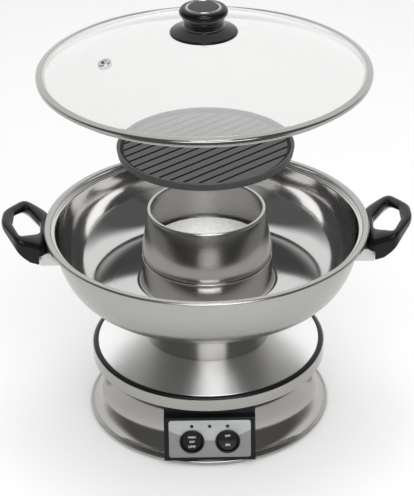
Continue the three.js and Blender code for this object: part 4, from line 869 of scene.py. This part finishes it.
angle = 2 * math.pi * np.arange(corners) / corners
rim = np.column_stack([table_radius * np.cos(angle), table_middle + table_radius * np.sin(angle),
                       np.zeros(corners)])
floor = built("studio_floor", (rim, [list(range(corners))]))
floor.data.materials.append(paper)

studio = bpy.data.worlds.new("studio")
studio.use_nodes = True
studio.node_tree.nodes.clear()
bpy.context.scene.world = studio
way = add(studio, "ShaderNodeLightPath")
seen = add(studio, "ShaderNodeMath", {0: way.outputs["Is Camera Ray"],
                                      1: way.outputs["Is Transmission Ray"]}, operation="MAXIMUM")
towards = add(studio, "ShaderNodeTexCoord").outputs["Generated"]
axes = add(studio, "ShaderNodeSeparateXYZ", {0: towards})
# Metal sees the white cove behind the pot, which ends overhead and at both sides, and dark flags
# in front of it. Matt things are lit a little from everywhere.
side_level, flag_level, room_level, white_level = 0.15, 0.14, 0.65, 1.0
behind = add(studio, "ShaderNodeMapRange", {0: axes.outputs[1], 1: 0.0, 2: 0.4, 3: 0.0, 4: 1.0},
             interpolation_type="SMOOTHSTEP")
aside = add(studio, "ShaderNodeMath", {0: axes.outputs[0]}, operation="ABSOLUTE")
between = add(studio, "ShaderNodeMapRange", {0: aside.outputs[0], 1: 0.65, 2: 0.95, 3: 1.0,
                                             4: side_level}, interpolation_type="SMOOTHSTEP")
cove = add(studio, "ShaderNodeMath", {0: behind.outputs[0], 1: between.outputs[0], 2: flag_level},
           operation="MULTIPLY_ADD")
level = add(studio, "ShaderNodeMix", {0: way.outputs["Is Glossy Ray"], 2: room_level,
                                      3: cove.outputs[0]}, data_type="FLOAT")
level = add(studio, "ShaderNodeMix", {0: seen.outputs[0], 2: level.outputs[0], 3: white_level},
            data_type="FLOAT")
sky = add(studio, "ShaderNodeBackground", {"Color": linear("#ffffff"),
                                           "Strength": level.outputs[0]})
add(studio, "ShaderNodeOutputWorld", {"Surface": sky.outputs[0]})


def softbox(name, at, wide, tall, level):
    """A square-cornered area light, aimed at the pot, its face as bright as a white of `level`."""
    lamp = bpy.data.lights.new(name, "AREA")
    lamp.shape, lamp.size, lamp.size_y = "RECTANGLE", wide, tall
    lamp.energy = math.pi * wide * tall * level
    made = bpy.data.objects.new(name, lamp)
    stand = Matrix.Translation(at)
    turn = (pot_middle - stand.translation).to_track_quat("-Z", "Y")
    made.matrix_world = stand @ turn.to_matrix().to_4x4()
    bpy.context.scene.collection.objects.link(made)
    made.visible_camera = False
    return made


pot_middle = Vector((0, 0, 0.1))
front = (0.17, -1.45, 1.2)
softbox("overhead_softbox", (0, 0.5, 1.95), 1.2, 1.2, 2.2).visible_glossy = False
softbox("front_softbox", front, 1.4, 1.3, 2.7)
softbox("front_highlight", front, 0.85, 1.3, 8.0).visible_diffuse = False
softbox("top_highlight", (0.05, -0.45, 1.9), 0.45, 0.35, 8.0).visible_diffuse = False
